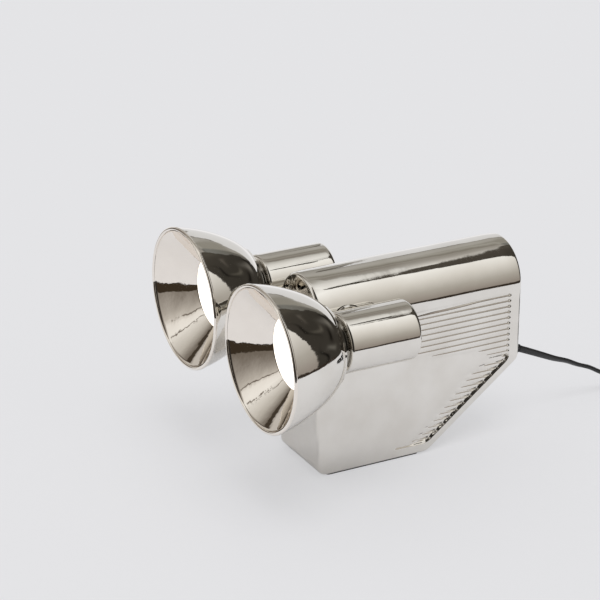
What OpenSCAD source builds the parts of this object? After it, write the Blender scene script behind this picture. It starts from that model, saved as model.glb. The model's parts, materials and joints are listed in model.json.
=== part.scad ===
// Tabletop searchlight lamp: a hollow slip-cast body with a barrel top and ribbed sides,
// and two bell-mouthed heads that each tilt on a hollow friction pivot.
// X runs across the lamp, the bells face -Y and Z is up. The origin is on the table,
// under the middle of the lamp's length and width.

/* [Body] */
// Length of the body, from its front face to its back face
body_l = 190; // [170:1:230]
// Width of the body and of its round top
body_w = 67; // [60:1:76]
// Height of the round top above the table
body_h = 167; // [155:1:185]
// Thickness of the cast wall
body_wall = 5; // [4:0.5:6]
// How far the slanted underside reaches forward from the back face
slant_l = 86.5; // [70:0.5:100]
// Height where the slanted underside meets the back face
slant_h = 68; // [55:1:80]
// Rounding of the vertical and end edges
edge_r = 3.5; // [2:0.5:5]
// Rounding of the lower front corner
front_corner_r = 10; // [7:1:16]
// Rounding between the bottom and the slant
low_corner_r = 12; // [7:1:16]
// Rounding between the slant and the back face
back_corner_r = 10; // [7:1:16]

/* [Ribbed side panels] */
// From the body's front face to the panel
panel_start = 68.5; // [62:0.5:80]
// Plain border around the panel
panel_border = 10; // [8:0.5:14]
// Depth of the panel's groove bottoms
panel_depth = 1.9; // [1.2:0.1:2.2]
// Height of one rib
rib_pitch = 5; // [4:0.5:7]
// Plain strip between the panel and the round top
panel_gap = 5.5; // [4:0.5:10]
// Radius of a rib's round face
rib_r = 2.8; // [2.7:0.1:4]
// How far the ribs' crests lie under the side face
rib_sink = 0.4; // [0.2:0.1:0.8]
// Rounding of the panel's corners
panel_corner_r = 3; // [2:0.5:5]

/* [Base] */
// Thickness of the felt under the lamp
felt_t = 1; // [1:0.5:2]
// How far the felt stays inside the body's edge
felt_inset = 3; // [2:0.5:5]
// Thickness of the steel base plate
plate_t = 2; // [1.5:0.5:2.5]
// Half width of the hole in the body's bottom
hatch_w = 20; // [17:0.5:22]
// Length of the hole in the body's bottom
hatch_l = 60; // [54:1:66]
// Width of the ledge that the base plate covers
hatch_ledge = 4; // [3:0.5:5]
// Radius of the base screws
base_screw_r = 1.5; // [1.5:0.25:2]

/* [Heads] */
// Distance between the two heads' axes
head_gap = 135; // [133:1:145]
// How far the heads' axes lie under the body's top
head_drop = 33; // [30:1:38]
// How far the bells' rims stand ahead of the body
head_reach = 71; // [68:1:80]
// Outer radius of a bell's rim
bell_r = 59; // [55:0.5:60]
// Length of a bell from its rim to its neck
bell_l = 62.7; // [60:0.1:64]
// Outer radius of a bell at its neck
bell_neck_r = 21.6; // [21:0.1:23]
// Wall of a bell
bell_wall = 2.5; // [2:0.25:3]
// Thickness of a bell's end wall at the neck
bell_end_t = 4; // [3:0.5:5]
// Radius of the rolled lip
lip_r = 1.5; // [1:0.25:2]
// Thickness of the reflector cone
cone_t = 1.4; // [1:0.1:1.6]
// Depth of the reflector cone, from the rim to the lens
cone_l = 28; // [24:0.5:30]
// Radius of the lit opening
lens_r = 28; // [26.5:0.5:29]
// Thickness of the opal lens
lens_t = 2.5; // [2:0.5:3]
// Radius of the can behind the bell
can_r = 24.5; // [24:0.5:26]
// Length of the can
can_l = 63.5; // [60:0.5:68]
// Wall of the can
can_wall = 3; // [2.5:0.25:3]
// Rounding of the can's back edge
can_edge_r = 4; // [3:0.5:6]
// Rounding of the can's front edge
can_front_r = 1; // [0.5:0.25:1.5]
// Length of the groove between the bell and the can
neck_l = 5.3; // [4:0.1:7]

/* [Pivots] */
// Distance of the pivots behind the body's front face
pivot_back = 26; // [25:0.5:29]
// Radius of the hollow pivot tube
tube_r = 5; // [4.5:0.25:5.5]
// Radius of the wire way through the pivot tube
tube_bore_r = 3.5; // [3:0.25:3.75]
// Radial clearance of the tube in its bush
tube_gap = 0.05; // [0.02:0.01:0.09]
// Radius of the bush
bush_r = 7; // [6.5:0.25:8]
// Thickness of the bush's flange
bush_flange_t = 1.5; // [1:0.25:2]
// Radius of the seats on both sides of the joint
seat_r = 13; // [12:0.5:14]
// How far the body's seat stands proud of its side
seat_rise = 1; // [0.5:0.25:1.5]
// Thickness of the friction washer
washer_t = 1; // [0.75:0.25:1.5]
// Gap between faces that rub
rub_gap = 0.1; // [0.05:0.05:0.3]
// Thickness of the lock nuts
nut_t = 3; // [2.5:0.25:3.5]
// Width of the lock nuts across their flats
nut_w = 14; // [13:0.5:15]

/* [Lamps and holders] */
// Radius of the reflector lamp's face
bulb_r = 25; // [24:0.5:25.5]
// Length of the reflector lamp without its pins
bulb_l = 46; // [44:0.5:48]
// Radius of the reflector lamp's base
bulb_base_r = 12.5; // [11.5:0.25:13]
// Length of the reflector lamp's straight base
bulb_base_l = 25; // [24:0.5:27]
// Radius of a lamp pin's head
bulb_pin_r = 2.5; // [2:0.1:2.5]
// Length of a lamp pin
bulb_pin_l = 7; // [6:0.5:8]
// Distance between a lamp's two pins
bulb_pin_gap = 10; // [9:0.5:11]
// Radius of the ceramic lamp holder
holder_r = 12.5; // [12:0.25:13]
// Length of the ceramic lamp holder
holder_l = 16; // [14:0.5:17]
// Radius of the lamp holder's flange
holder_flange_r = 16; // [15.5:0.25:17]
// Thickness of the holder's flange and of its carrier plate
carrier_t = 1.5; // [1:0.25:2]

/* [Cord] */
// Width of the flat two-core cord
cord_w = 5.9; // [5:0.1:6.4]
// Thickness of the flat cord
cord_t = 3.75; // [3:0.05:4]
// Radius of the inner leads
lead_r = 1.75; // [1.25:0.25:2.25]
// Height where the cord's axis crosses the back face
exit_h = 69; // [64:1:74]
// Downward tilt of the cord where it leaves the body
exit_tilt = 25; // [20:1:32]
// Length of the strain relief outside the body
relief_l = 23; // [20:1:24]
// Radius of the strain relief at the body
relief_r = 5.4; // [5:0.1:6]
// Radius of the coil's innermost turn
coil_r = 25; // [24.5:0.5:28]
// Distance between turns that lie side by side
turn_pitch = 4.5; // [4.2:0.1:5.2]
// Distance between the two layers of turns
layer_pitch = 6.5; // [6.4:0.1:7]
// Turns in each of the two layers
layer_turns = 3.25; // [3.25:1:5.25]
// Straight cord between the coil and what it meets
coil_tail = 36; // [34:1:44]
// Thickness of the tape that ties the coil
tie_t = 0.6; // [0.4:0.1:1]

/* [Cord switch and plug] */
// Length of the cord switch
switch_l = 62; // [56:1:70]
// Width of the cord switch
switch_w = 24; // [21:0.5:27]
// Height of the cord switch
switch_h = 17; // [17:0.5:20]
// Length of the rocker
rocker_l = 16.4; // [14:0.2:18]
// Width of the rocker
rocker_w = 9.4; // [8:0.2:11]
// How far the rocker leans to each side
rocker_lean = 7; // [5:0.5:8]
// Width of the flat plug at its face
plug_w = 35.3; // [33:0.1:36]
// Thickness of the plug
plug_h = 14; // [13:0.5:16]
// Length of the plug's body
plug_l = 35; // [32:1:38]
// Length of the plug's own strain relief
plug_relief_l = 18; // [15:1:22]
// Radius of a plug pin
pin_r = 2; // [1.9:0.1:2.4]
// Length of a plug pin outside the plug
pin_l = 19; // [17:1:20]
// Distance between the two plug pins
pin_gap = 18.6; // [17:0.1:19]

/* [Hidden] */
$fn = 72;

platinum = "#b9b4ab";
steel = "#a9acae";
brass = "#b99a55";
white_ceramic = "#ece8df";
nylon = "#d9d5c9";
black = "#1d1d1e";
felt = "#2b2927";
opal = "#fffdf6";

// Places along the lamp
front_y = (head_reach - body_l) / 2;
back_y = front_y + body_l;
rim_y = front_y - head_reach;
barrel_r = body_w / 2;
barrel_z = body_h - barrel_r;
head_h = body_h - head_drop;
bottom_z = felt_t;
overrun = edge_r;
half_turn = 180;

// Tools for outlines: a rounded corner, and an outline with a radius at each corner
function corner(a, p, b, r, steps) =
    r <= 0 ? [p] :
    let (u = (a - p) / norm(a - p),
         v = (b - p) / norm(b - p),
         half = acos(u * v) / 2,
         middle = p + (u + v) / norm(u + v) * r / sin(half),
         first = p + u * r / tan(half) - middle,
         last = p + v * r / tan(half) - middle,
         start = atan2(first.y, first.x),
         turn = atan2(first.x * last.y - first.y * last.x, first * last))
    [for (i = [0:steps]) middle + r * [cos(start + turn * i / steps), sin(start + turn * i / steps)]];

function rounded(points, radii, steps = 6) =
    let (n = len(points))
    [for (i = [0:n - 1])
        each corner(points[(i + n - 1) % n], points[i], points[(i + 1) % n], radii[i], steps)];

function smooth(t) = let (s = min(1, max(0, t))) s * s * (3 - 2 * s);
function unit(v) = v / norm(v);

// The body's side outline, drawn in by d: bottom front, bottom rear, slant's top, top rear, top front
function side_corners(d) =
    let (slope = unit([slant_l, slant_h - bottom_z]),
         inward = [-slope.y, slope.x],
         on_slant = [back_y - slant_l, bottom_z] + inward * d)
    [[front_y + d, bottom_z + d],
     on_slant + slope * (bottom_z + d - on_slant.y) / slope.y,
     on_slant + slope * (back_y - d - on_slant.x) / slope.x,
     [back_y - d, body_h + overrun],
     [front_y + d, body_h + overrun]];

function side_outline(d) =
    rounded(side_corners(d),
        [for (r = [front_corner_r, low_corner_r, back_corner_r, 0, 0]) r > 0 ? max(r - d, edge_r) : 0]);

// Half of the body's plan, from front to back, drawn in by d
function plan_half(d) =
    let (w = barrel_r - d, r = max(edge_r - d, edge_r / 4))
    concat([[0, front_y + d]],
        corner([0, front_y + d], [w, front_y + d], [w, back_y - d], r, 6),
        corner([w, front_y + d], [w, back_y - d], [0, back_y - d], r, 6),
        [[0, back_y - d]]);

function both_halves(half) =
    concat(half, [for (i = [len(half) - 2:-1:1]) [-half[i].x, half[i].y]]);

// A solid with the given outline in Y and Z, from x0 to x1
module across(x0, x1) {
    translate([x0, 0, 0]) rotate([90, 0, 90]) linear_extrude(height = x1 - x0) children();
}

// A turned piece on a head's axis: its outline is [radius, distance behind the bell's rim]
module turned(side) {
    translate([side * head_gap / 2, rim_y, head_h]) rotate([-90, 0, 0]) rotate_extrude() children();
}

// A round bar along X on a pivot's axis, from x0 to x1 outward on the given side
module pivot_bar(side, x0, x1, r, sides = $fn) {
    translate([side * x0, pivot_y, head_h]) rotate([0, 90 * side, 0])
        cylinder(h = x1 - x0, r = r, $fn = sides);
}

module body_form(d) {
    half = plan_half(d);
    intersection() {
        union() {
            translate([0, 0, barrel_z]) rotate([-90, 0, 0]) rotate([0, 0, 180])
                rotate_extrude(angle = 180) polygon(half);
            linear_extrude(height = barrel_z) polygon(both_halves(half));
        }
        across(-body_w, body_w) polygon(side_outline(d));
    }
}

// The pivots: where the faces along each pivot's axis lie, measured from the middle of the lamp
pivot_y = front_y + pivot_back;
wall_in = barrel_r - body_wall;
seat_in = wall_in - body_wall + seat_rise;
seat_out = barrel_r + seat_rise;
flange_out = seat_out + bush_flange_t;
washer_out = flange_out + washer_t;
boss_face = washer_out + rub_gap;
head_x = head_gap / 2;
can_in_r = can_r - can_wall;
boss_end = head_x - can_in_r + can_wall;
tube_out = boss_end + nut_t + lip_r;
spring_in = seat_in - washer_t;
tube_in = spring_in - nut_t - lip_r;

// Places behind the rim of a bell
neck_y = bell_l;
can_y = neck_y + neck_l;
collar_r = bell_neck_r - rub_gap;
collar_bore_r = holder_flange_r + carrier_t;
collar_end_y = can_y + collar_r * 0.8;
nose_r = bell_neck_r - bell_end_t - rub_gap * 6;
nose_bore_r = nose_r - carrier_t;
lens_y = cone_l;
bulb_y = lens_y + lens_t + carrier_t;
bulb_end_y = bulb_y + bulb_l;

// The ribbed panel
panel_bottom = bottom_z + panel_border * 0.65;
rib_count = floor((barrel_z - panel_gap - panel_bottom) / rib_pitch);
panel_top = panel_bottom + rib_count * rib_pitch;

module panel_outline() {
    c = side_corners(panel_border);
    slope = unit(c[2] - c[1]);
    polygon(rounded([
        [front_y + panel_start, panel_bottom],
        c[1] + slope * (panel_bottom - c[1].y) / slope.y,
        c[2],
        [c[2].x, panel_top],
        [front_y + panel_start, panel_top]],
        [for (i = [0:4]) panel_corner_r]));
}

// What the panel takes out of a side: a shallow tray with round ribs standing in it
module panel_cut() {
    difference() {
        across(barrel_r - panel_depth, barrel_r + overrun) panel_outline();
        for (i = [0:rib_count - 1])
            translate([barrel_r - rib_sink - rib_r, front_y, panel_bottom + (i + 0.5) * rib_pitch])
                rotate([-90, 0, 0]) cylinder(h = body_l, r = rib_r);
    }
}

// The hole in the body's bottom, and the ledge that the base plate lies in
hatch_y = front_y + front_corner_r + hatch_ledge + edge_r;
flat_end_y = back_y - slant_l;

module hatch(grow, z0, z1) {
    translate([0, 0, z0]) linear_extrude(height = z1 - z0)
        polygon(rounded([
            [-hatch_w - grow, hatch_y - grow],
            [hatch_w + grow, hatch_y - grow],
            [hatch_w + grow, hatch_y + hatch_l + grow],
            [-hatch_w - grow, hatch_y + hatch_l + grow]],
            [for (i = [0:3]) edge_r + grow]));
}

// The cord's axis where it goes through the back corner; s is measured outward from the back face
exit_dir = [0, cos(exit_tilt), -sin(exit_tilt)];
function on_exit(s) = [0, back_y, exit_h] + exit_dir * s;

module along_exit(s) {
    translate(on_exit(s)) rotate([-90 - exit_tilt, 0, 0]) children();
}

wall_along_exit = body_wall * 1.2;
hole_gap = rub_gap;

module body_shell() {
    color(platinum) difference() {
        union() {
            difference() {
                body_form(0);
                body_form(body_wall);
            }
            for (side = [1, -1]) pivot_bar(side, seat_in, seat_out, seat_r);
        }
        hatch(0, 0, bottom_z + body_wall + overrun);
        hatch(hatch_ledge, 0, bottom_z + plate_t);
        for (side = [1, -1]) pivot_bar(side, seat_in - overrun, seat_out + overrun, bush_r);
        along_exit(-wall_along_exit * 2) cylinder(h = wall_along_exit * 4, r = relief_r + hole_gap);
        for (side = [0, 1]) mirror([side, 0, 0]) panel_cut();
    }
}

// Base: plate, felt, and the two bars inside that the base screws pull against the cast bottom
bar_w = base_screw_r * 6;
bar_t = plate_t * 1.5;
bar_z = bottom_z + body_wall;
screw_spots = [for (x = [-1, 1], y = [0, 1])
    [x * hatch_w * 0.7, hatch_y + bar_w / 2 + edge_r + y * (hatch_l - bar_w - edge_r * 2)]];

module base_plate() {
    color(steel) difference() {
        hatch(hatch_ledge - rub_gap, bottom_z, bottom_z + plate_t);
        for (p = screw_spots) translate([p.x, p.y, 0]) cylinder(h = bar_z, r = base_screw_r);
    }
}

module clamp_bars() {
    color(steel) difference() {
        for (x = [screw_spots[0].x, screw_spots[3].x])
            translate([x - bar_w / 2, hatch_y - hatch_ledge, bar_z])
                cube([bar_w, hatch_l + hatch_ledge * 2, bar_t]);
        for (p = screw_spots) translate([p.x, p.y, 0]) cylinder(h = bar_z * 2, r = base_screw_r);
    }
}

module base_screws() {
    head_t = felt_t - rub_gap;
    color(steel) for (p = screw_spots) translate([p.x, p.y, bottom_z - head_t]) {
        cylinder(h = head_t, r1 = base_screw_r * 1.6, r2 = base_screw_r * 1.8);
        cylinder(h = bar_z + bar_t - bottom_z + head_t, r = base_screw_r);
    }
}

module felt_pad() {
    a = front_y + front_corner_r + felt_inset - edge_r;
    b = flat_end_y - low_corner_r / 3 - felt_inset;
    w = barrel_r - felt_inset;
    color(felt) difference() {
        linear_extrude(height = felt_t)
            polygon(rounded([[-w, a], [w, a], [w, b], [-w, b]], [for (i = [0:3]) edge_r]));
        for (p = screw_spots) translate([p.x, p.y, 0])
            cylinder(h = felt_t * 3, r = base_screw_r * 2.2, center = true);
    }
}

// Terminal block on the base plate, with one screw over each of its four wire ends
block_w = hatch_w * 0.9;
block_l = hatch_l * 0.3;
block_h = body_wall * 2.6;
block_y = hatch_y + hatch_l * 0.55;
block_z = bottom_z + plate_t;
way_z = block_z + block_h * 0.38;
block_ways = [-block_w / 4, block_w / 4];

module terminal_block() {
    color(nylon) difference() {
        union() {
            translate([-block_w / 2, block_y - block_l / 2, block_z])
                cube([block_w, block_l, block_h * 0.75]);
            for (x = block_ways, y = [-1, 1])
                translate([x, block_y + y * block_l / 4, block_z]) cylinder(h = block_h, r = block_w / 5);
        }
        for (x = block_ways, y = [-1, 1])
            translate([x, block_y + y * block_l / 4, way_z]) cylinder(h = block_h, r = base_screw_r);
    }
}

module terminal_screws() {
    color(brass) for (x = block_ways, y = [-1, 1])
        translate([x, block_y + y * block_l / 4, way_z])
            difference() {
                cylinder(h = block_h * 0.5, r = base_screw_r);
                translate([-base_screw_r, -base_screw_r / 5, block_h * 0.42])
                    cube([base_screw_r * 2, base_screw_r / 2.5, block_h]);
            }
}

// Saddle that clamps the cord's inner end to the base plate
saddle_y = hatch_y + hatch_l * 0.76;
saddle_w = cord_w * 3.2;
saddle_l = cord_w;
saddle_t = plate_t;
inner_r = cord_t / 2;

module cord_clamp() {
    top = inner_r * 2 + saddle_t;
    color(steel) difference() {
        translate([-saddle_w / 2, saddle_y - saddle_l / 2, block_z]) union() {
            cube([saddle_w, saddle_l, saddle_t]);
            translate([saddle_w / 2 - inner_r - saddle_t, 0, 0])
                cube([(inner_r + saddle_t) * 2, saddle_l, top]);
        }
        translate([-inner_r, saddle_y - saddle_l, 0])
            cube([inner_r * 2, saddle_l * 2, block_z + inner_r]);
        translate([0, saddle_y - saddle_l, block_z + inner_r]) rotate([-90, 0, 0])
            cylinder(h = saddle_l * 2, r = inner_r);
        for (x = [-1, 1]) translate([x * saddle_w * 0.38, saddle_y, 0])
            cylinder(h = bar_z * 3, r = base_screw_r / 1.5);
    }
}

module clamp_screws() {
    color(steel) for (x = [-1, 1]) translate([x * saddle_w * 0.38, saddle_y, block_z]) {
        cylinder(h = saddle_t, r = base_screw_r / 1.5);
        translate([0, 0, saddle_t]) cylinder(h = base_screw_r, r1 = base_screw_r * 1.3, r2 = base_screw_r);
    }
}

// A tube swept along a list of points. roll turns the flat section about its own axis at each point
function sweep_dir(p, i) =
    unit(p[min(i + 1, len(p) - 1)] - p[max(i - 1, 0)]);

function ring(p, dir, roll, w, t, sides) =
    let (flat = unit(cross(dir, [0, 0, 1])),
         up = cross(flat, dir),
         a = flat * cos(roll) + up * sin(roll),
         b = up * cos(roll) - flat * sin(roll))
    [for (k = [0:sides - 1])
        p + a * w / 2 * cos(360 * (k + 0.5) / sides) + b * t / 2 * sin(360 * (k + 0.5) / sides)];

function sweep_rings(points, rolls, w, t, sides, first, last) =
    [for (i = [0:len(points) - 1])
        ring(points[i], i == 0 ? first : i == len(points) - 1 ? last : sweep_dir(points, i),
            rolls[i], w, t, sides)];

module swept(rings) {
    n = len(rings);
    m = len(rings[0]);
    polyhedron(
        points = [for (r = rings) each r],
        faces = concat(
            [for (k = [1:m - 2]) [0, k, k + 1]],
            [for (k = [1:m - 2]) [(n - 1) * m, (n - 1) * m + k + 1, (n - 1) * m + k]],
            [for (i = [0:n - 2], k = [0:m - 1]) each [
                [i * m + k, (i + 1) * m + k, i * m + (k + 1) % m],
                [i * m + (k + 1) % m, (i + 1) * m + k, (i + 1) * m + (k + 1) % m]]]),
        convexity = 10);
}

// Round leads inside the lamp: a few corners, rounded by a sweep through points along arcs
module lead(points, r, first, last) {
    swept(sweep_rings(points, [for (p = points) 0], r * 2, r * 2, 8, first, last));
}

function bend(a, p, b, r, steps) =
    let (u = unit(a - p), v = unit(b - p), half = acos(u * v) / 2,
         middle = p + unit(u + v) * r / sin(half),
         first = p + u * r / tan(half) - middle,
         last = p + v * r / tan(half) - middle,
         whole = half_turn - half * 2)
    [for (i = [0:steps])
        middle + (first * sin(whole * (1 - i / steps)) + last * sin(whole * i / steps)) / sin(whole)];

function bent(points, r, steps = 5) =
    concat([points[0]],
        [for (i = [1:len(points) - 2]) each bend(points[i - 1], points[i], points[i + 1], r, steps)],
        [points[len(points) - 1]]);

inner_bend_r = cord_w * 2;
relief_flange_t = relief_r * 0.4;
relief_in = wall_along_exit + relief_r * 0.8 + relief_flange_t;

module inner_cord() {
    start = on_exit(-relief_in);
    low = [0, saddle_y + saddle_l, block_z + inner_r];
    stop = [0, block_y + block_l / 2, block_z + inner_r];
    turn = on_exit(-relief_in - inner_bend_r * 1.4);
    color(black)
        lead(bent([start, turn, low, stop], inner_bend_r), inner_r, -exit_dir, [0, -1, 0]);
}

// Feed from the terminal block up to the inner end of a pivot tube
module feed(side) {
    start = [side * block_ways[1], block_y - block_l / 2, way_z];
    foot = start - [0, lead_r * 4.2, 0];
    rise = [foot.x, foot.y, head_h * 0.8];
    top = [foot.x, pivot_y, head_h];
    stop = [side * tube_in, pivot_y, head_h];
    color(black)
        lead(bent([start, foot, rise, top, stop], lead_r * 3.5), lead_r, [0, -1, 0], [side, 0, 0]);
}

module bush(side) {
    color(nylon) difference() {
        union() {
            pivot_bar(side, seat_in, seat_out, bush_r);
            pivot_bar(side, seat_out, flange_out, bush_r * 1.5);
        }
        pivot_bar(side, seat_in - overrun, flange_out + overrun, tube_r + tube_gap);
    }
}

relief_tip_r = cord_w * 0.62;
relief_rings = 5;

// The taper's radius at a share of its length outside the body
function relief_at(share) = relief_r + (relief_tip_r - relief_r) * share;

module strain_relief() {
    neck_s = relief_flange_t - relief_in;
    step = 1 / relief_rings;
    depth = lip_r / 3;
    taper = [for (i = [0:relief_rings - 1]) each [
        [relief_at(i * step), i * step],
        [relief_at((i + 0.55) * step), (i + 0.55) * step],
        [relief_at((i + 0.55) * step) - depth, (i + 0.6) * step],
        [relief_at((i + 0.95) * step) - depth, (i + 0.95) * step]]];
    color(black) along_exit(0) rotate_extrude() polygon(concat(
        [[0, -relief_in], [relief_r * 1.45, -relief_in], [relief_r * 1.45, neck_s], [relief_r, neck_s]],
        [for (p = taper) [p.x, p.y * relief_l]],
        [[relief_tip_r, relief_l], [0, relief_l]]));
}

// The cord's free stretch, from the strain relief over the table to the switch
route = [[0, 163, 54], [0, 176, 48], [0, 189, 42], [0, 202, 37], [0, 214, 31], [0, 226, 26],
    [0, 238, 19], [-1, 249, 13], [-4, 260, 7], [-9, 271, 4], [-16, 281, 3], [-23, 291, 3],
    [-30, 301, 3], [-36, 312, 3], [-41, 324, 3], [-44, 337, 3], [-44, 350, 3], [-41, 363, 3],
    [-35, 374, 4], [-26, 383, 6], [-16, 388, 8], [-8, 390, 9]];
switch_spot = [29, 390, 0];
untwist_share = 0.35;

module cord() {
    inlet = [switch_spot.x - switch_l / 2, switch_spot.y, switch_h / 2];
    points = concat([on_exit(relief_l)], route, [inlet]);
    rolls = [for (i = [0:len(points) - 1]) 90 * (1 - smooth(i / len(points) / untwist_share))];
    color(black) swept(sweep_rings(points, rolls, cord_w, cord_t, 10, exit_dir, [1, 0, 0]));
}

// The coil: in along the lower layer, up in the half turn where it reverses, and out along the upper
loop_rings = 24;
tail_rings = 6;
coil_out_r = coil_r + turn_pitch * layer_turns;
tie_gap = rub_gap * 3;
coil_spot = [switch_spot.x + switch_l / 2 + coil_tail, switch_spot.y - coil_out_r,
    cord_w / 2 + tie_t + tie_gap];
coil_steps = 2 * layer_turns * loop_rings;

function coil_point(i) =
    let (turns = i / loop_rings - layer_turns,
         r = coil_r + turn_pitch * abs(turns),
         angle = 90 - 360 * i / loop_rings)
    coil_spot + [r * cos(angle), r * sin(angle), layer_pitch * smooth(turns * 2 + 0.5)];

// From s = 0 at the coil to s = 1 at what the tail meets, with its last sixth straight
function tail_share(s) = smooth(s * tail_rings / (tail_rings - 1));

module cord_coil() {
    into = [for (i = [tail_rings:-1:1]) let (s = i / tail_rings)
        coil_point(0) + [-coil_tail * s, 0, (switch_h / 2 - coil_spot.z) * tail_share(s)]];
    turns = [for (i = [0:coil_steps]) coil_point(i)];
    top = coil_spot.z + layer_pitch;
    out = [for (i = [1:tail_rings]) let (s = i / tail_rings)
        coil_point(coil_steps) + [-coil_tail * s, 0, (plug_h / 2 - top) * tail_share(s)]];
    into_rolls = [for (i = [tail_rings:-1:1]) 90 * (1 - tail_share(i / tail_rings))];
    out_rolls = [for (i = [1:tail_rings]) 90 * (1 + tail_share(i / tail_rings))];
    points = concat(into, turns, out);
    rolls = concat(into_rolls, [for (p = turns) 90], out_rolls);
    rings = sweep_rings(points, rolls, cord_w, cord_t, 6, [1, 0, 0], [-1, 0, 0]);
    color(black) swept(rings);
    near = [for (i = [0:len(points) - 1], j = [i + tail_rings * 2:len(points) - 1])
        if (norm(points[i] - points[j]) < cord_w * 1.5) [i, j]];
    gaps = [for (n = near) min([for (a = rings[n[0]], b = rings[n[1]]) norm(a - b)])];
    echo(least_gap_between_turns = min(gaps));
}

// Tape around all the turns, on the side away from the switch and the plug
tie_w = cord_t * 1.6;

module tie_outline(grow) {
    x0 = coil_r - cord_t / 2 - grow;
    x1 = coil_r + floor(layer_turns) * turn_pitch + cord_t / 2 + grow;
    z0 = -cord_w / 2 - grow;
    z1 = layer_pitch + cord_w / 2 + grow;
    polygon(rounded([[x0, z0], [x1, z0], [x1, z1], [x0, z1]], [for (i = [0:3]) cord_t / 4 + grow]));
}

module coil_tie() {
    color(felt) translate([coil_spot.x, coil_spot.y + tie_w / 2, coil_spot.z]) rotate([90, 0, 0])
        linear_extrude(height = tie_w) difference() {
            tie_outline(tie_gap + tie_t);
            tie_outline(tie_gap);
        }
}

// Cord switch: a base and a cover that close around the cord, with a rocker in the cover
switch_split = switch_h / 2;
axle_r = switch_h * 0.08;
axle_z = switch_h * 0.79;
window_gap = rub_gap * 6;
side_wall = switch_h * 0.14;

module switch_form() {
    l = switch_l / 2;
    w = switch_w / 2;
    nose = w * 0.55;
    top_l = l * 0.82;
    translate(switch_spot) intersection() {
        linear_extrude(height = switch_h)
            polygon(rounded([[-l, -nose], [-l * 0.6, -w], [l * 0.6, -w], [l, -nose],
                [l, nose], [l * 0.6, w], [-l * 0.6, w], [-l, nose]],
                [for (i = [0:7]) i % 4 == 1 || i % 4 == 2 ? w : w / 4]));
        translate([0, w * 2, 0]) rotate([90, 0, 0]) linear_extrude(height = w * 4)
            polygon(rounded([[-l, 0], [l, 0], [l, switch_split * 1.3], [top_l, switch_h],
                [-top_l, switch_h], [-l, switch_split * 1.3]],
                [for (i = [0:5]) i < 2 ? 0 : switch_split * 0.6]));
    }
}

module rocker_window(z0) {
    translate([switch_spot.x - rocker_l / 2 - window_gap, switch_spot.y - rocker_w / 2 - rub_gap * 2, z0])
        cube([rocker_l + window_gap * 2, rocker_w + rub_gap * 4, switch_h * 2]);
}

module rocker_axle(r, l) {
    translate([switch_spot.x, switch_spot.y - l / 2, axle_z]) rotate([-90, 0, 0]) cylinder(h = l, r = r);
}

module slab(z0, z1) {
    translate([switch_spot.x - switch_l, switch_spot.y - switch_w, z0])
        cube([switch_l * 2, switch_w * 2, z1 - z0]);
}

switch_screw_x = switch_l * 0.33;

module switch_holes(z0, z1, r) {
    for (x = [-1, 1]) translate([switch_spot.x + x * switch_screw_x, switch_spot.y, z0])
        cylinder(h = z1 - z0, r = r);
}

module switch_base() {
    color(black) difference() {
        intersection() {
            switch_form();
            slab(0, switch_split);
        }
        rocker_window(switch_split * 0.6);
        switch_holes(0, switch_h, base_screw_r);
        switch_holes(0, base_screw_r, base_screw_r * 2);
    }
}

module switch_cover() {
    color(black) difference() {
        intersection() {
            switch_form();
            slab(switch_split, switch_h);
        }
        rocker_window(0);
        rocker_axle(axle_r + tube_gap, rocker_w + side_wall * 2);
        switch_holes(0, switch_split * 1.4, base_screw_r);
    }
}

module switch_screws() {
    color(steel) {
        switch_holes(rub_gap, switch_split * 1.4, base_screw_r);
        difference() {
            switch_holes(rub_gap, base_screw_r, base_screw_r * 1.9);
            for (x = [-1, 1]) translate([switch_spot.x + x * switch_screw_x, switch_spot.y, 0])
                cube([base_screw_r * 3, base_screw_r / 2, base_screw_r], center = true);
        }
    }
}

module switch_rocker() {
    l = rocker_l / 2;
    high = switch_h * 1.06 - axle_z;
    low = switch_h * 0.36;
    dip = l * tan(rocker_lean);
    color(black) {
        translate([switch_spot.x, switch_spot.y + rocker_w / 2, axle_z])
            rotate([0, -rocker_lean, 0]) rotate([90, 0, 0]) linear_extrude(height = rocker_w)
                polygon(rounded([[-l, high - dip * 0.2], [-l, -low * 0.5], [-l * 0.5, -low],
                    [l * 0.5, -low], [l, -low * 0.5], [l, high - dip * 0.2], [0, high - dip]],
                    [lip_r / 2, lip_r, lip_r, lip_r, lip_r, lip_r / 2, lip_r * 8]));
        rocker_axle(axle_r, rocker_w + side_wall * 1.8);
    }
}

// Flat two-pin plug, lying on the table with its pins towards -X
plug_tail_x = coil_spot.x - coil_tail;
plug_back_x = plug_tail_x - plug_relief_l;
plug_face_x = plug_back_x - plug_l;
plug_y = coil_spot.y - coil_out_r;
pin_sink = pin_l * 0.4;
// Each pin has a bare tip, and a thinner shank in a moulded sleeve
tip_share = 0.48;
sleeve_share = 0.9;
shank_share = 0.7;
pin_tip_x = plug_face_x - pin_l * (1 - tip_share);

module plug_pin(y, x0, x1, r) {
    translate([x0, plug_y + y, plug_h / 2]) rotate([0, 90, 0]) cylinder(h = x1 - x0, r = r);
}

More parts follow.
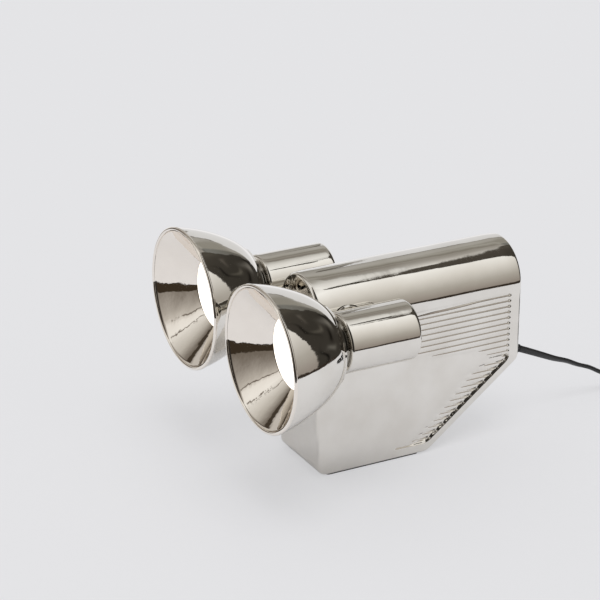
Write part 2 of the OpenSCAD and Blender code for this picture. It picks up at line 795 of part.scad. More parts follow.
module plug_body() {
    w = plug_w / 2;
    back = w * 0.42;
    h = plug_h;
    color(black) difference() {
        union() {
            intersection() {
                translate([plug_face_x, plug_y, 0]) linear_extrude(height = h)
                    polygon(rounded([[0, -w], [plug_l * 0.45, -w], [plug_l, -back],
                        [plug_l, back], [plug_l * 0.45, w], [0, w]],
                        [lip_r, w / 3, back / 2, back / 2, w / 3, lip_r]));
                translate([plug_face_x - overrun, plug_y, 0]) rotate([90, 0, 90])
                    linear_extrude(height = plug_l + overrun * 2)
                        polygon(rounded([[-w, 0], [w, 0], [w, h], [-w, h]], [for (i = [0:3]) h * 0.2]));
            }
            translate([plug_back_x, plug_y, h / 2]) rotate([0, 90, 0])
                cylinder(h = plug_relief_l, r1 = h * 0.42, r2 = cord_w * 0.62);
            for (y = [-1, 1])
                plug_pin(y * pin_gap / 2, pin_tip_x, plug_face_x + pin_sink, pin_r * sleeve_share);
        }
        for (i = [0:3]) translate([plug_back_x + (i + 0.7) * plug_relief_l / 5, plug_y, h / 2])
            rotate([0, 90, 0]) difference() {
                cylinder(h = plug_relief_l / 10, r = h / 2);
                translate([0, 0, -overrun]) cylinder(h = overrun * 3, r = cord_w * 0.56);
            }
        for (y = [-1, 1])
            plug_pin(y * pin_gap / 2, pin_tip_x - pin_l, plug_face_x + pin_sink, pin_r * shank_share);
    }
}

module plug_pins() {
    color(brass) for (y = [-1, 1]) {
        plug_pin(y * pin_gap / 2, plug_face_x - pin_l + pin_r, pin_tip_x, pin_r);
        plug_pin(y * pin_gap / 2, pin_tip_x, plug_face_x + pin_sink, pin_r * shank_share);
        translate([plug_face_x - pin_l + pin_r, plug_y + y * pin_gap / 2, plug_h / 2]) sphere(r = pin_r);
    }
}

// Heads. The bell's outer radius falls from the rim to the neck; s runs from 0 to 1
bell_rim_curve = 1.88;
bell_neck_curve = 1.29;

function bell_at(s) =
    [bell_neck_r + (bell_r - bell_neck_r) * pow(1 - pow(s, bell_neck_curve), 1 / bell_rim_curve), s * bell_l];

bell_steps = 20;
bell_shares = [for (i = [0:bell_steps]) 1 - pow(1 - i / bell_steps, 1.6)];
bell_front_share = lip_r / bell_l;

function inside_bell(s) =
    let (a = bell_at(max(0, s - 0.01)), b = bell_at(min(1, s + 0.01)), n = unit([b.y - a.y, a.x - b.x]))
    bell_at(s) - n * bell_wall;

module bell(side) {
    end_y = bell_l - bell_end_t;
    behind_lip = [for (s = bell_shares) if (s > bell_front_share) s];
    outer = [for (s = behind_lip) bell_at(s)];
    inner = [for (s = behind_lip) if (inside_bell(s).y < end_y - lip_r) inside_bell(s)];
    last = inner[len(inner) - 1];
    start = bell_at(bell_front_share);
    color(platinum) turned(side) polygon(concat(
        [[start.x - bell_wall, start.y], start], outer,
        [[nose_r, bell_l], [nose_r, end_y], [min(last.x, bell_neck_r * 1.2), end_y]],
        [for (i = [len(inner) - 1:-1:0]) inner[i]]));
}

lip_steps = 8;

// The reflector: a rolled lip on the bell's edge, a straight cone, and a seat behind it for the lens
module reflector(side) {
    lip = [bell_r - lip_r, lip_r];
    mouth = [bell_r - lip_r * 2, lip_r];
    throat = [lens_r, cone_l];
    run = unit(throat - mouth);
    back = [-run.y, run.x] * -cone_t;
    seat = lens_r + lip_r / 2;
    seat_end = lens_y + lens_t + carrier_t * 2;
    color(platinum) turned(side) polygon(concat(
        [for (i = [0:lip_steps]) lip - lip_r * [cos(180 * i / lip_steps), sin(180 * i / lip_steps)]],
        [[bell_r - lip_r * 1.9, lip_r]],
        [mouth + back + run * lip_r * 2, [seat + cone_t, cone_l - lip_r / 4],
         [seat + cone_t, seat_end], [seat, seat_end], [seat, cone_l], throat]));
}

module lens(side) {
    seat = lens_r + lip_r / 2;
    color(opal) turned(side)
        polygon([[0, lens_y], [seat, lens_y], [seat, lens_y + lens_t], [0, lens_y + lens_t]]);
}

module lens_clip(side) {
    seat = lens_r + lip_r / 2;
    y = lens_y + lens_t;
    color(steel) turned(side)
        polygon([[bulb_r, y], [seat, y], [seat, y + carrier_t], [bulb_r, y + carrier_t]]);
}

// The collar: its nose goes through the bell's end wall, its middle is the groove, its skirt is in the can
module collar(side) {
    nose_y = bell_l - bell_end_t - nut_t * 2;
    color(platinum) turned(side) polygon([
        [nose_bore_r, nose_y], [nose_r, nose_y], [nose_r, neck_y], [collar_r, neck_y],
        [collar_r, collar_end_y], [collar_bore_r, collar_end_y], [collar_bore_r, can_y],
        [nose_bore_r, can_y - carrier_t]]);
}

module collar_nut(side) {
    y = bell_l - bell_end_t - nut_t;
    color(steel) difference() {
        turned(side)
            polygon([[nose_r, y], [nose_r * 1.4, y], [nose_r * 1.4, y + nut_t], [nose_r, y + nut_t]]);
        for (a = [0:90:270]) translate([side * head_x, rim_y + y, head_h]) rotate([0, a, 0])
            translate([nose_r * 1.25, 0, 0]) cube([nose_r * 0.4, nut_t * 0.8, nut_t], center = true);
    }
}

module can(side) {
    end_y = can_y + can_l;
    bore = collar_r;
    mid = can_in_r;
    outline = rounded([[bore, can_y], [can_r, can_y], [can_r, end_y], [0, end_y], [0, end_y - can_wall],
        [mid, end_y - can_wall], [mid, collar_end_y], [bore, collar_end_y]],
        [0, can_front_r, can_edge_r, 0, 0, can_front_r, 0, 0]);
    color(platinum) difference() {
        union() {
            turned(side) polygon(outline);
            pivot_bar(side, boss_face, head_x - can_in_r, seat_r - lip_r);
            pivot_bar(side, head_x - can_r + can_wall / 2, boss_end, nut_w * 0.6);
        }
        pivot_bar(side, boss_face - overrun, boss_end + overrun, tube_r);
    }
}

carrier_y = collar_end_y;
carrier_r = can_in_r - rub_gap;
skirt_r = (collar_bore_r + collar_r) / 2;
flange_r = (holder_r + holder_flange_r) / 2;
carrier_screw_r = base_screw_r / 2;

// Holes or screws through the carrier: two hold the holder's flange, two go into the collar's skirt
module carrier_holes(side, y0, y1, grow) {
    translate([side * head_x, rim_y + y0, head_h]) rotate([-90, 0, 0])
        for (a = [90, 270]) rotate([0, 0, a]) {
            translate([flange_r, 0, 0]) cylinder(h = y1 - y0, r = carrier_screw_r * grow);
            rotate([0, 0, 45]) translate([skirt_r, 0, 0]) cylinder(h = y1 - y0, r = carrier_screw_r * grow);
        }
}

module carrier(side) {
    color(steel) difference() {
        turned(side) polygon([[holder_r, carrier_y], [carrier_r, carrier_y],
            [carrier_r, carrier_y + carrier_t], [holder_r, carrier_y + carrier_t]]);
        carrier_holes(side, carrier_y - overrun, carrier_y + carrier_t + overrun, 1);
    }
}

module carrier_screws(side) {
    y = carrier_y + carrier_t;
    color(steel) {
        carrier_holes(side, carrier_y, y, 1);
        carrier_holes(side, y, y + carrier_screw_r, 1.8);
    }
}

module holder(side) {
    y = bulb_end_y;
    flange_y = carrier_y - carrier_t;
    color(white_ceramic) difference() {
        turned(side) polygon([[0, y], [holder_r, y], [holder_r, flange_y], [holder_flange_r, flange_y],
            [holder_flange_r, carrier_y], [holder_r, carrier_y], [holder_r, y + holder_l],
            [0, y + holder_l]]);
        bulb_pin_bars(side, y - overrun, y + bulb_pin_l, bulb_pin_r);
    }
}

module bulb_pin_bars(side, y0, y1, r) {
    for (z = [-1, 1]) translate([side * head_x, rim_y + y0, head_h + z * bulb_pin_gap / 2])
        rotate([-90, 0, 0]) cylinder(h = y1 - y0, r = r);
}

module bulb(side) {
    taper_y = bulb_end_y - bulb_base_l;
    color(opal) {
        turned(side) polygon([[0, bulb_y + lip_r / 2], [bulb_r * 0.86, bulb_y + lip_r / 2],
            [bulb_r * 0.9, bulb_y], [bulb_r, bulb_y], [bulb_r, bulb_y + lip_r * 2],
            [bulb_r * 0.9, bulb_y + (taper_y - bulb_y) * 0.45],
            [bulb_r * 0.72, bulb_y + (taper_y - bulb_y) * 0.8],
            [bulb_base_r, taper_y], [bulb_base_r, bulb_end_y], [0, bulb_end_y]]);
        bulb_pin_bars(side, bulb_end_y, bulb_end_y + bulb_pin_l * 0.5, bulb_pin_r * 0.6);
        bulb_pin_bars(side, bulb_end_y + bulb_pin_l * 0.5, bulb_end_y + bulb_pin_l, bulb_pin_r);
    }
}

module pivot_tube(side) {
    color(steel) difference() {
        pivot_bar(side, tube_in, tube_out, tube_r);
        pivot_bar(side, tube_in - overrun, tube_out + overrun, tube_bore_r);
    }
}

module friction_washer(side) {
    color(nylon) difference() {
        pivot_bar(side, flange_out + rub_gap, boss_face, bush_r * 1.5);
        pivot_bar(side, flange_out - overrun, boss_face + overrun, tube_r);
    }
}

module lock_nut(side, x) {
    color(steel) difference() {
        pivot_bar(side, x, x + nut_t, nut_w / sqrt(3), 6);
        pivot_bar(side, x - overrun, x + nut_t + overrun, tube_r);
    }
}

module spring_washer(side) {
    color(steel) difference() {
        pivot_bar(side, spring_in, seat_in - rub_gap, bush_r * 1.3);
        pivot_bar(side, spring_in - overrun, seat_in + overrun, tube_r);
    }
}

// Lead from the pivot tube's inner end, through the tube and round to the back of the holder
module head_lead(side) {
    back = rim_y + bulb_end_y + holder_l;
    bend_r = lead_r * 3;
    loop_y = back + bend_r * 3.6;
    start = [side * tube_in, pivot_y, head_h];
    out = [side * (tube_out + bend_r * 1.1), pivot_y, head_h];
    far = [out.x, loop_y, head_h];
    turn = [side * (head_x + bend_r * 1.4), loop_y, head_h];
    down = [turn.x, back, head_h];
    color(black) lead(bent([start, out, far, turn, down], bend_r, 4), lead_r, [side, 0, 0], [0, -1, 0]);
}

body_shell();
base_plate();
felt_pad();
clamp_bars();
base_screws();
terminal_block();
terminal_screws();
cord_clamp();
clamp_screws();
inner_cord();
feed(1);  // right_feed
feed(-1);  // left_feed
bush(1);  // right_bush
bush(-1);  // left_bush
strain_relief();
cord();
cord_coil();
coil_tie();
switch_base();
switch_cover();
switch_screws();
switch_rocker();
plug_body();
plug_pins();
bell(1);  // right_bell
reflector(1);  // right_reflector
lens(1);  // right_lens
lens_clip(1);  // right_lens_clip
collar(1);  // right_collar
collar_nut(1);  // right_collar_nut
can(1);  // right_can
carrier(1);  // right_carrier
carrier_screws(1);  // right_carrier_screws
holder(1);  // right_holder
bulb(1);  // right_bulb
pivot_tube(1);  // right_pivot_tube
friction_washer(1);  // right_washer
lock_nut(1, boss_end);  // right_can_nut
spring_washer(1);  // right_spring_washer
lock_nut(1, spring_in - nut_t);  // right_pivot_nut
head_lead(1);  // right_lead
bell(-1);  // left_bell
reflector(-1);  // left_reflector
lens(-1);  // left_lens
lens_clip(-1);  // left_lens_clip
collar(-1);  // left_collar
collar_nut(-1);  // left_collar_nut
can(-1);  // left_can
carrier(-1);  // left_carrier
carrier_screws(-1);  // left_carrier_screws
holder(-1);  // left_holder
bulb(-1);  // left_bulb
pivot_tube(-1);  // left_pivot_tube
friction_washer(-1);  // left_washer
lock_nut(-1, boss_end);  // left_can_nut
spring_washer(-1);  // left_spring_washer
lock_nut(-1, spring_in - nut_t);  // left_pivot_nut
head_lead(-1);  // left_lead
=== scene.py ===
import json

import bmesh
import bpy
import numpy as np
from mathutils import Matrix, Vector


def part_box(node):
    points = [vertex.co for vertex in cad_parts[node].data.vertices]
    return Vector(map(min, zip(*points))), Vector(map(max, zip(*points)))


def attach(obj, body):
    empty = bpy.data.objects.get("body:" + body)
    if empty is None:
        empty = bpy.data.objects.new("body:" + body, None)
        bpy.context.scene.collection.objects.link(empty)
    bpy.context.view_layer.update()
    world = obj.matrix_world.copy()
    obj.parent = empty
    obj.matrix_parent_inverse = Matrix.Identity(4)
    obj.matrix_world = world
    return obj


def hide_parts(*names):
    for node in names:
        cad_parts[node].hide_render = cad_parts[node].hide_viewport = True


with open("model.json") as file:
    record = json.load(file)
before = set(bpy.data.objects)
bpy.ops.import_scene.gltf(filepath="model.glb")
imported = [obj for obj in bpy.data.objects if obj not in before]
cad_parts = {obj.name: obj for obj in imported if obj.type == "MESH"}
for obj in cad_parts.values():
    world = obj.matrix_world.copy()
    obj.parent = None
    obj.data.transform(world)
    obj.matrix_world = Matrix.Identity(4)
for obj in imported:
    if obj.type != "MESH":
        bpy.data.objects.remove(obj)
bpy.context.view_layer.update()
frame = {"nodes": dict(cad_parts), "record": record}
nodes = frame["nodes"]
mm = 0.001
weldDistance = 2e-6  # metres: points closer than this are one
sliverLength = 1e-7  # metres: edges shorter than this are dropped
print("frame loaded:", len(nodes), "nodes")


camera = {
    "place": (1.5215, -0.8766, 0.8736),
    "right": (0.4714, 0.8819, 0.0052),
    "up": (-0.3452, 0.1791, 0.9213),
    "back": (0.8115, -0.4361, 0.3889),
    "lens": 141.4, "sensor": 36,  # mm
    "farthest": 50,  # metres
}


def addCamera(values):
    data = bpy.data.cameras.new("photoCamera")
    data.lens = values["lens"]
    data.sensor_width = values["sensor"]
    data.clip_end = values["farthest"]
    obj = bpy.data.objects.new("photoCamera", data)
    axes = np.column_stack([values["right"], values["up"], values["back"], values["place"]])
    obj.matrix_world = Matrix(np.vstack([axes, [0, 0, 0, 1]]).tolist())
    bpy.context.scene.collection.objects.link(obj)
    bpy.context.scene.camera = obj


addCamera(camera)
bpy.context.scene.view_settings.view_transform = "Standard"


def linkMesh(name, points, faces):
    # points in mm, one row of three each; faces as lists of point numbers
    mesh = bpy.data.meshes.new(name)
    mesh.from_pydata((np.asarray(points) * mm).tolist(), [], faces)
    work = bmesh.new()
    work.from_mesh(mesh)
    bmesh.ops.remove_doubles(work, verts=work.verts, dist=weldDistance)
    bmesh.ops.dissolve_degenerate(work, edges=work.edges, dist=sliverLength)
    bmesh.ops.recalc_face_normals(work, faces=work.faces)
    work.to_mesh(mesh)
    work.free()
    mesh.polygons.foreach_set("use_smooth", np.ones(len(mesh.polygons), bool))
    obj = bpy.data.objects.new(name, mesh)
    bpy.context.scene.collection.objects.link(obj)
    return obj


def gridFaces(rows, cols, closedRows=False, closedCols=False, start=0):
    # one quad between each pair of neighbouring rows and columns
    number = np.arange(rows * cols).reshape(rows, cols) + start
    if closedCols:
        number = np.concatenate([number, number[:, :1]], axis=1)
    if closedRows:
        number = np.concatenate([number, number[:1]], axis=0)
    quads = np.stack([number[:-1, :-1], number[:-1, 1:], number[1:, 1:], number[1:, :-1]], axis=-1)
    return quads.reshape(-1, 4).tolist()


def smoothStep(t):
    # 0 up to 0 and 1 from 1 on, and between them 3 t squared less 2 t cubed
    t = np.clip(t, 0, 1)
    return t * t * (3 - 2 * t)


def roundCorner(before, corner, after, radius, steps=8):
    # points along the arc of that radius that touches both lines at the corner
    before, corner, after = (np.asarray(p, float) for p in (before, corner, after))
    u = (before - corner) / np.linalg.norm(before - corner)
    v = (after - corner) / np.linalg.norm(after - corner)
    half = np.arccos(np.clip(u @ v, -1, 1)) / 2
    middle = corner + (u + v) / np.linalg.norm(u + v) * radius / np.sin(half)
    first = corner + u * radius / np.tan(half) - middle
    last = corner + v * radius / np.tan(half) - middle
    turn = np.arctan2(first[0] * last[1] - first[1] * last[0], first @ last)
    angle = np.arctan2(first[1], first[0]) + turn * np.linspace(0, 1, steps + 1)
    return middle + radius * np.stack([np.cos(angle), np.sin(angle)], axis=1)


def roundedLine(points, radii, steps=8):
    # an open line through the points, each inner corner rounded by its radius
    parts = [np.array([points[0]], float)]
    for i, radius in enumerate(radii, start=1):
        if radius:
            parts.append(roundCorner(points[i - 1], points[i], points[i + 1], radius, steps))
        else:
            parts.append(np.array([points[i]], float))
    parts.append(np.array([points[-1]], float))
    return np.concatenate(parts)


def evenLine(line, step):
    # the same line with its long stretches cut into pieces no longer than step
    parts = []
    for a, b in zip(line[:-1], line[1:]):
        count = max(1, int(np.ceil(np.linalg.norm(b - a) / step)))
        parts.append(a + (b - a) * np.arange(count)[:, None] / count)
    return np.concatenate(parts + [line[-1:]])


def newMaterial(name, **values):
    # a Principled material; its sockets' names are written with underlines for spaces
    material = bpy.data.materials.new(name)
    material.use_nodes = True
    shader = material.node_tree.nodes["Principled BSDF"]
    for socket, value in values.items():
        shader.inputs[socket.replace("_", " ")].default_value = value
    return material, shader


def noiseOn(material, scale, detail=3, roughness=0.5):
    # noise over Object coordinates
    tree = material.node_tree
    place = tree.nodes.new("ShaderNodeTexCoord")
    noise = tree.nodes.new("ShaderNodeTexNoise")
    noise.inputs["Scale"].default_value = scale
    noise.inputs["Detail"].default_value = detail
    noise.inputs["Roughness"].default_value = roughness
    tree.links.new(place.outputs["Object"], noise.inputs["Vector"])
    return noise.outputs["Fac"]


def rampTo(material, source, socket, low, high, start=0.35, end=0.65):
    # source between start and end runs from low to high on the shader's socket
    tree = material.node_tree
    ramp = tree.nodes.new("ShaderNodeValToRGB")
    ramp.color_ramp.elements[0].position = start
    ramp.color_ramp.elements[1].position = end
    for element, value in zip(ramp.color_ramp.elements, (low, high)):
        element.color = (*value, 1) if isinstance(value, tuple) else (value, value, value, 1)
    tree.links.new(source, ramp.inputs["Fac"])
    tree.links.new(ramp.outputs["Color"], socket)


def bumpOn(material, shader, layers):
    # layers of (height, depth in metres), each bump laid over the one before
    tree = material.node_tree
    normal = None
    for height, depth in layers:
        bump = tree.nodes.new("ShaderNodeBump")
        bump.inputs["Distance"].default_value = depth
        tree.links.new(height, bump.inputs["Height"])
        if normal:
            tree.links.new(normal, bump.inputs["Normal"])
        normal = bump.outputs["Normal"]
    tree.links.new(normal, shader.inputs["Normal"])


def lustreMaterial():
    # platinum lustre over glaze: a warm mirror, wavy as the cast clay under it and finely rippled
    material, shader = newMaterial("lustreGlaze", Metallic=1.0, Roughness=0.04)
    rampTo(material, noiseOn(material, 30, 4), shader.inputs["Base Color"],
           (0.80, 0.77, 0.72), (0.86, 0.835, 0.79))
    rampTo(material, noiseOn(material, 90, 5), shader.inputs["Roughness"], 0.02, 0.07)
    bumpOn(material, shader, [
        (noiseOn(material, 30, 1), 0.0003),
        (noiseOn(material, 110, 2), 0.00004),
    ])
    return material


def shadedNeckLustreMaterial():
    # the lustre darkened with painted shade, standing in for the shadow in the narrow neck between bell and
    # can
    material, shader = newMaterial("shadedNeckLustre", Metallic=1.0, Roughness=0.08)
    rampTo(material, noiseOn(material, 60, 4), shader.inputs["Base Color"],
           (0.30, 0.28, 0.25), (0.40, 0.38, 0.34))
    bumpOn(material, shader, [(noiseOn(material, 60, 2), 0.0003)])
    return material


def coneMaterial():
    # the same lustre inside the bells with a finer wave, its colour a little lighter as painted light that
    # brightens what the cones reflect
    material, shader = newMaterial("mirrorCone", Metallic=1.0, Roughness=0.04)
    rampTo(material, noiseOn(material, 40, 4), shader.inputs["Base Color"],
           (0.90, 0.845, 0.78), (0.94, 0.885, 0.82))
    rampTo(material, noiseOn(material, 120, 5), shader.inputs["Roughness"], 0.02, 0.06)
    bumpOn(material, shader, [
        (noiseOn(material, 40, 1), 0.0005),
        (noiseOn(material, 130, 2), 0.0001),
    ])
    return material


def metalMaterial(name, colour, roughness, scale):
    # plated or drawn metal, a little cloudy in colour and gloss
    material, shader = newMaterial(name, Metallic=1.0)
    rampTo(material, noiseOn(material, scale, 6, 0.6), shader.inputs["Base Color"],
           tuple(0.85 * c for c in colour), colour)
    rampTo(material, noiseOn(material, scale * 3, 4), shader.inputs["Roughness"],
           roughness * 0.7, roughness * 1.3)
    bumpOn(material, shader, [(noiseOn(material, scale * 6, 3), 0.00002)])
    return material


def mouldedMaterial(name, colour, roughness, grain, depth):
    # moulded plastic, ceramic or rubber: one colour with a fine grain
    material, shader = newMaterial(name)
    rampTo(material, noiseOn(material, grain / 6, 4), shader.inputs["Base Color"],
           tuple(0.82 * c for c in colour), colour)
    rampTo(material, noiseOn(material, grain / 3, 3), shader.inputs["Roughness"],
           roughness * 0.85, roughness * 1.15)
    bumpOn(material, shader, [(noiseOn(material, grain, 4), depth)])
    return material


def opalMaterial():
    # the lit lens
    material, shader = newMaterial(
        "opalLens", Base_Color=(0.95, 0.94, 0.91, 1), Roughness=0.3,
        Emission_Color=(1.0, 0.98, 0.94, 1), Emission_Strength=1.6)
    bumpOn(material, shader, [(noiseOn(material, 900, 2), 0.00001)])
    return material


def fabricMaterial(name, colour, thread):
    # felted fibres or a woven tape: a fuzzy noise in both colour and height
    material, shader = newMaterial(name, Roughness=0.95, Sheen_Weight=0.4)
    rampTo(material, noiseOn(material, thread, 6, 0.7), shader.inputs["Base Color"],
           tuple(0.6 * c for c in colour), tuple(1.4 * c for c in colour))
    bumpOn(material, shader, [(noiseOn(material, thread * 2, 6, 0.8), 0.0004)])
    return material


shadedNeckLustre = shadedNeckLustreMaterial()
finishes = {
    "lustre_glaze": lustreMaterial(),
    "mirror_cone": coneMaterial(),
    "opal_lens": opalMaterial(),
    "lamp_glass": mouldedMaterial("lampGlass", (0.9, 0.9, 0.88), 0.2, 500, 0.00001),
    "white_ceramic": mouldedMaterial("whiteCeramic", (0.85, 0.83, 0.78), 0.6, 1800, 0.00004),
    "steel": metalMaterial("zincSteel", (0.62, 0.63, 0.64), 0.35, 300),
    "brass": metalMaterial("plainBrass", (0.75, 0.58, 0.28), 0.3, 300),
    "nickel": metalMaterial("nickelPins", (0.72, 0.7, 0.65), 0.2, 400),
    "nylon": mouldedMaterial("nylon", (0.8, 0.78, 0.72), 0.5, 900, 0.00003),
    "black_plastic": mouldedMaterial("blackPlastic", (0.022, 0.022, 0.023), 0.42, 2600, 0.00003),
    "cord_sheath": mouldedMaterial("cordSheath", (0.016, 0.016, 0.017), 0.36, 1500, 0.00003),
    "tie_tape": fabricMaterial("tieTape", (0.02, 0.02, 0.021), 1600),
    "felt": fabricMaterial("felt", (0.03, 0.028, 0.026), 900),
}
slotOf = {part["node"]: part["material_slot"] for part in frame["record"]["subparts"]}
for name, obj in nodes.items():
    obj.data.materials.clear()
    obj.data.materials.append(finishes[slotOf[name]])
print("materials ready:", len(finishes))


def dress(obj, slot, body, *replaced):
    # the finish and slot of a new skin, the body that it moves with, and the CAD nodes that it stands for
    obj.data.materials.append(finishes[slot])
    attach(obj, body)
    if replaced:
        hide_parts(*replaced)


# out of the body, over the table, through the switch, round the coil, to the plug
cord = {
    "width": 5.9, "thickness": 3.75, "ringPoints": 20, "roundness": (0.75, 0.85),
    "grooveDepth": 0.06, "grooveWidth": 0.6,  # the depth is a share of the thickness
    "exit": (0, 130.5, 69), "exitTilt": 25, "reliefLength": 23, "insideRelief": 4,
    "route": [
        (0, 163, 54), (0, 176, 48), (0, 189, 42), (0, 202, 37), (0, 214, 31), (0, 226, 26),
        (0, 238, 19), (-1, 249, 13), (-4, 260, 7), (-9, 271, 4), (-16, 281, 3), (-23, 291, 3),
        (-30, 301, 3), (-36, 312, 3), (-41, 324, 3), (-44, 337, 3), (-44, 350, 3), (-41, 363, 3),
        (-35, 374, 4), (-26, 383, 6), (-16, 388, 8), (-8, 390, 9)],
    "pointStep": 2.5, "untwistShare": 0.35,  # upright at the exit, and flat from this share of the route on
    "switchSpot": (29, 390), "switchLength": 62, "switchHeight": 17, "switchPoints": 9,
    "coilRadius": 25, "turnPitch": 4.5, "layerPitch": 6.5, "layerTurns": 3.25,
    "coilHeight": 3.85, "tail": 36, "tailPoints": 12, "plugHeight": 14, "loopPoints": 24,
}


def splineThrough(points, step):
    # Catmull-Rom curve through the points, with a point about every step
    points = np.asarray(points, float)
    ends = np.concatenate([[2 * points[0] - points[1]], points, [2 * points[-1] - points[-2]]])
    count = int(np.ceil(np.linalg.norm(np.diff(points, axis=0), axis=1).max() / step))
    t = (np.arange(count) / count)[:, None, None]
    a, b, c, d = (ends[i:len(ends) - 3 + i] for i in range(4))
    curve = (2 * b + (c - a) * t + (2 * a - 5 * b + 4 * c - d) * t ** 2
             + (3 * b - a - 3 * c + d) * t ** 3) / 2
    curve = curve.transpose(1, 0, 2).reshape(-1, 3)
    return np.concatenate([curve, points[-1:]])


def coilLine(values):
    # a spiral in along the lower layer, up in the half turn where it reverses, and out along the upper.
    # A straight tail at each end rolls the cord flat, to meet the switch and the plug at mid height
    steps = int(2 * values["layerTurns"] * values["loopPoints"])
    i = np.arange(steps + 1)
    turns = i / values["loopPoints"] - values["layerTurns"]
    radius = values["coilRadius"] + values["turnPitch"] * np.abs(turns)
    angle = np.radians(90 - 360 * i / values["loopPoints"])
    spot = np.array([
        values["switchSpot"][0] + values["switchLength"] / 2 + values["tail"],
        values["switchSpot"][1] - values["coilRadius"] - values["turnPitch"] * values["layerTurns"],
        values["coilHeight"]])
    height = values["layerPitch"] * smoothStep(turns * 2 + 0.5)
    turnsLine = spot + np.stack([radius * np.cos(angle), radius * np.sin(angle), height], axis=1)
    s = np.arange(1, values["tailPoints"] + 1)[:, None] / values["tailPoints"]
    share = smoothStep(s * 1.2)
    along = np.array([[-values["tail"], 0, 0]])
    rise = np.array([[0, 0, 1]])
    top = spot[2] + values["layerPitch"]
    into = turnsLine[:1] + along * s + rise * (values["switchHeight"] / 2 - spot[2]) * share
    out = turnsLine[-1:] + along * s + rise * (values["plugHeight"] / 2 - top) * share
    rolls = np.concatenate([90 * (1 - share[::-1, 0]), np.full(steps + 1, 90),
                            90 * (1 + share[:, 0])])
    return np.concatenate([into[::-1], turnsLine, out]), rolls


def flatCordSkin(name, line, rolls, values):
    # rings across the line: a flat superellipse with a shallow groove between the two cores
    along = np.gradient(line, axis=0)
    along /= np.linalg.norm(along, axis=1, keepdims=True)
    side = np.cross(along, [0, 0, 1])
    side /= np.linalg.norm(side, axis=1, keepdims=True)
    over = np.cross(side, along)
    roll = np.radians(rolls)[:, None]
    wide = side * np.cos(roll) + over * np.sin(roll)
    thin = over * np.cos(roll) - side * np.sin(roll)
    angle = np.radians(np.arange(values["ringPoints"]) * 360 / values["ringPoints"])
    wideRound, thinRound = values["roundness"]
    across = np.sign(np.cos(angle)) * np.abs(np.cos(angle)) ** wideRound * values["width"] / 2
    up = np.sign(np.sin(angle)) * np.abs(np.sin(angle)) ** thinRound * values["thickness"] / 2
    up *= 1 - values["grooveDepth"] * np.exp(-(across / values["grooveWidth"]) ** 2)
    rings = (line[:, None] + wide[:, None] * across[None, :, None]
             + thin[:, None] * up[None, :, None])
    rows, cols = rings.shape[:2]
    faces = gridFaces(rows, cols, closedCols=True)
    faces += [list(range(cols)), [(rows - 1) * cols + k for k in range(cols)]]
    return linkMesh(name, rings.reshape(-1, 3), faces)


def makeCord(values):
    # out of the relief along the route, through the switch, round the coil and on to the plug
    tilt = np.radians(values["exitTilt"])
    direction = np.array([0, np.cos(tilt), -np.sin(tilt)])
    start = np.array(values["exit"]) + direction * values["reliefLength"]
    back = start - direction * values["insideRelief"]
    inlet = (values["switchSpot"][0] - values["switchLength"] / 2, values["switchSpot"][1],
             values["switchHeight"] / 2)
    free = splineThrough([back, start] + values["route"] + [inlet], values["pointStep"])
    share = np.linspace(0, 1, len(free))
    freeRolls = 90 * (1 - smoothStep(share / values["untwistShare"]))
    coil, coilRolls = coilLine(values)
    through = np.linspace(0.1, 0.9, values["switchPoints"])[:, None]
    inside = np.array(inlet) + np.array([1, 0, 0]) * through * values["switchLength"]
    line = np.concatenate([free, inside, coil])
    rolls = np.concatenate([freeRolls, np.zeros(values["switchPoints"]), coilRolls])
    obj = flatCordSkin("mainsCord", line, rolls, values)
    dress(obj, "cord_sheath", "base", "cord", "cord_coil")


makeCord(cord)


# a flat-sided casting with a round top, and a ribbed panel sunk in each side
bodyLow, bodyHigh = (np.array(corner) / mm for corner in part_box("body_shell"))
body = {
    "halfWidth": 33.5, "front": bodyLow[1], "back": bodyHigh[1],
    "bottom": bodyLow[2], "top": bodyHigh[2],
    "slantLength": 86.5, "slantTop": 68, "frontCorner": 10, "lowCorner": 12, "backCorner": 10,
    "edge": 2.6, "easeDepth": 0.9, "ease": 15,  # the round edge, and the face's shallow easing behind it
    "panelLeft": 9, "panelBottom": 9, "panelTop": 129.7, "panelCorner": 3,
    "borderBack": 10, "borderSlant": 7.2, "borderBlend": 10,
    "softLeft": 6, "softEdge": 2.2, "softBottom": 2.2,  # how wide the panel's walls are
    "panelLevel": 0.8,  # the panel's depth where it has no ribs
    "ribStart": 7.5, "ribPitch": 5, "ribRound": 0.1,
    "ribCrest": 0.25, "lowCrest": 2.1,  # the crests' depth in the upper and the lower zone
    "lowTop": 74, "lowBlend": 6,  # where the deeper lower zone ends
    "grooveWidth": 2.8, "grooveDepth": 0.24,
    "toothDepth": 1.3, "lowTooth": 6.5, "highTooth": 3.6,  # the grooves' deeper rear ends
    "reachHeights": (7, 75, 82, 88, 124, 127), "reaches": (16, 36, 56, 160, 160, 60),
    "reachScale": 1.3, "reachFade": 0.45,
    "seatSpot": (-33.5, 134), "seatRadius": 13, "seatRise": 1,
    "ledge": (24.3, -46.3, 22.3), "hatch": (20, -42, 18), "ledgeTop": 3.05, "hatchTop": 6,
    "topSteps": 32,
}
pivotRingPoints = 96  # round the pivots' seats and bosses


def bodyOutline(values):
    # the side outline in two parts: from the front's top to the bottom, and from there to the back's top
    front, back, bottom = values["front"], values["back"], values["bottom"]
    high = values["top"] * 2
    low = roundedLine([(front, high), (front, bottom), (back - values["slantLength"], bottom)],
                      [values["frontCorner"]], 24)
    rear = roundedLine([(front, bottom), (back - values["slantLength"], bottom),
                        (back, values["slantTop"]), (back, high)],
                       [values["lowCorner"], values["backCorner"]], 24)
    return low[:-1], rear[1:]


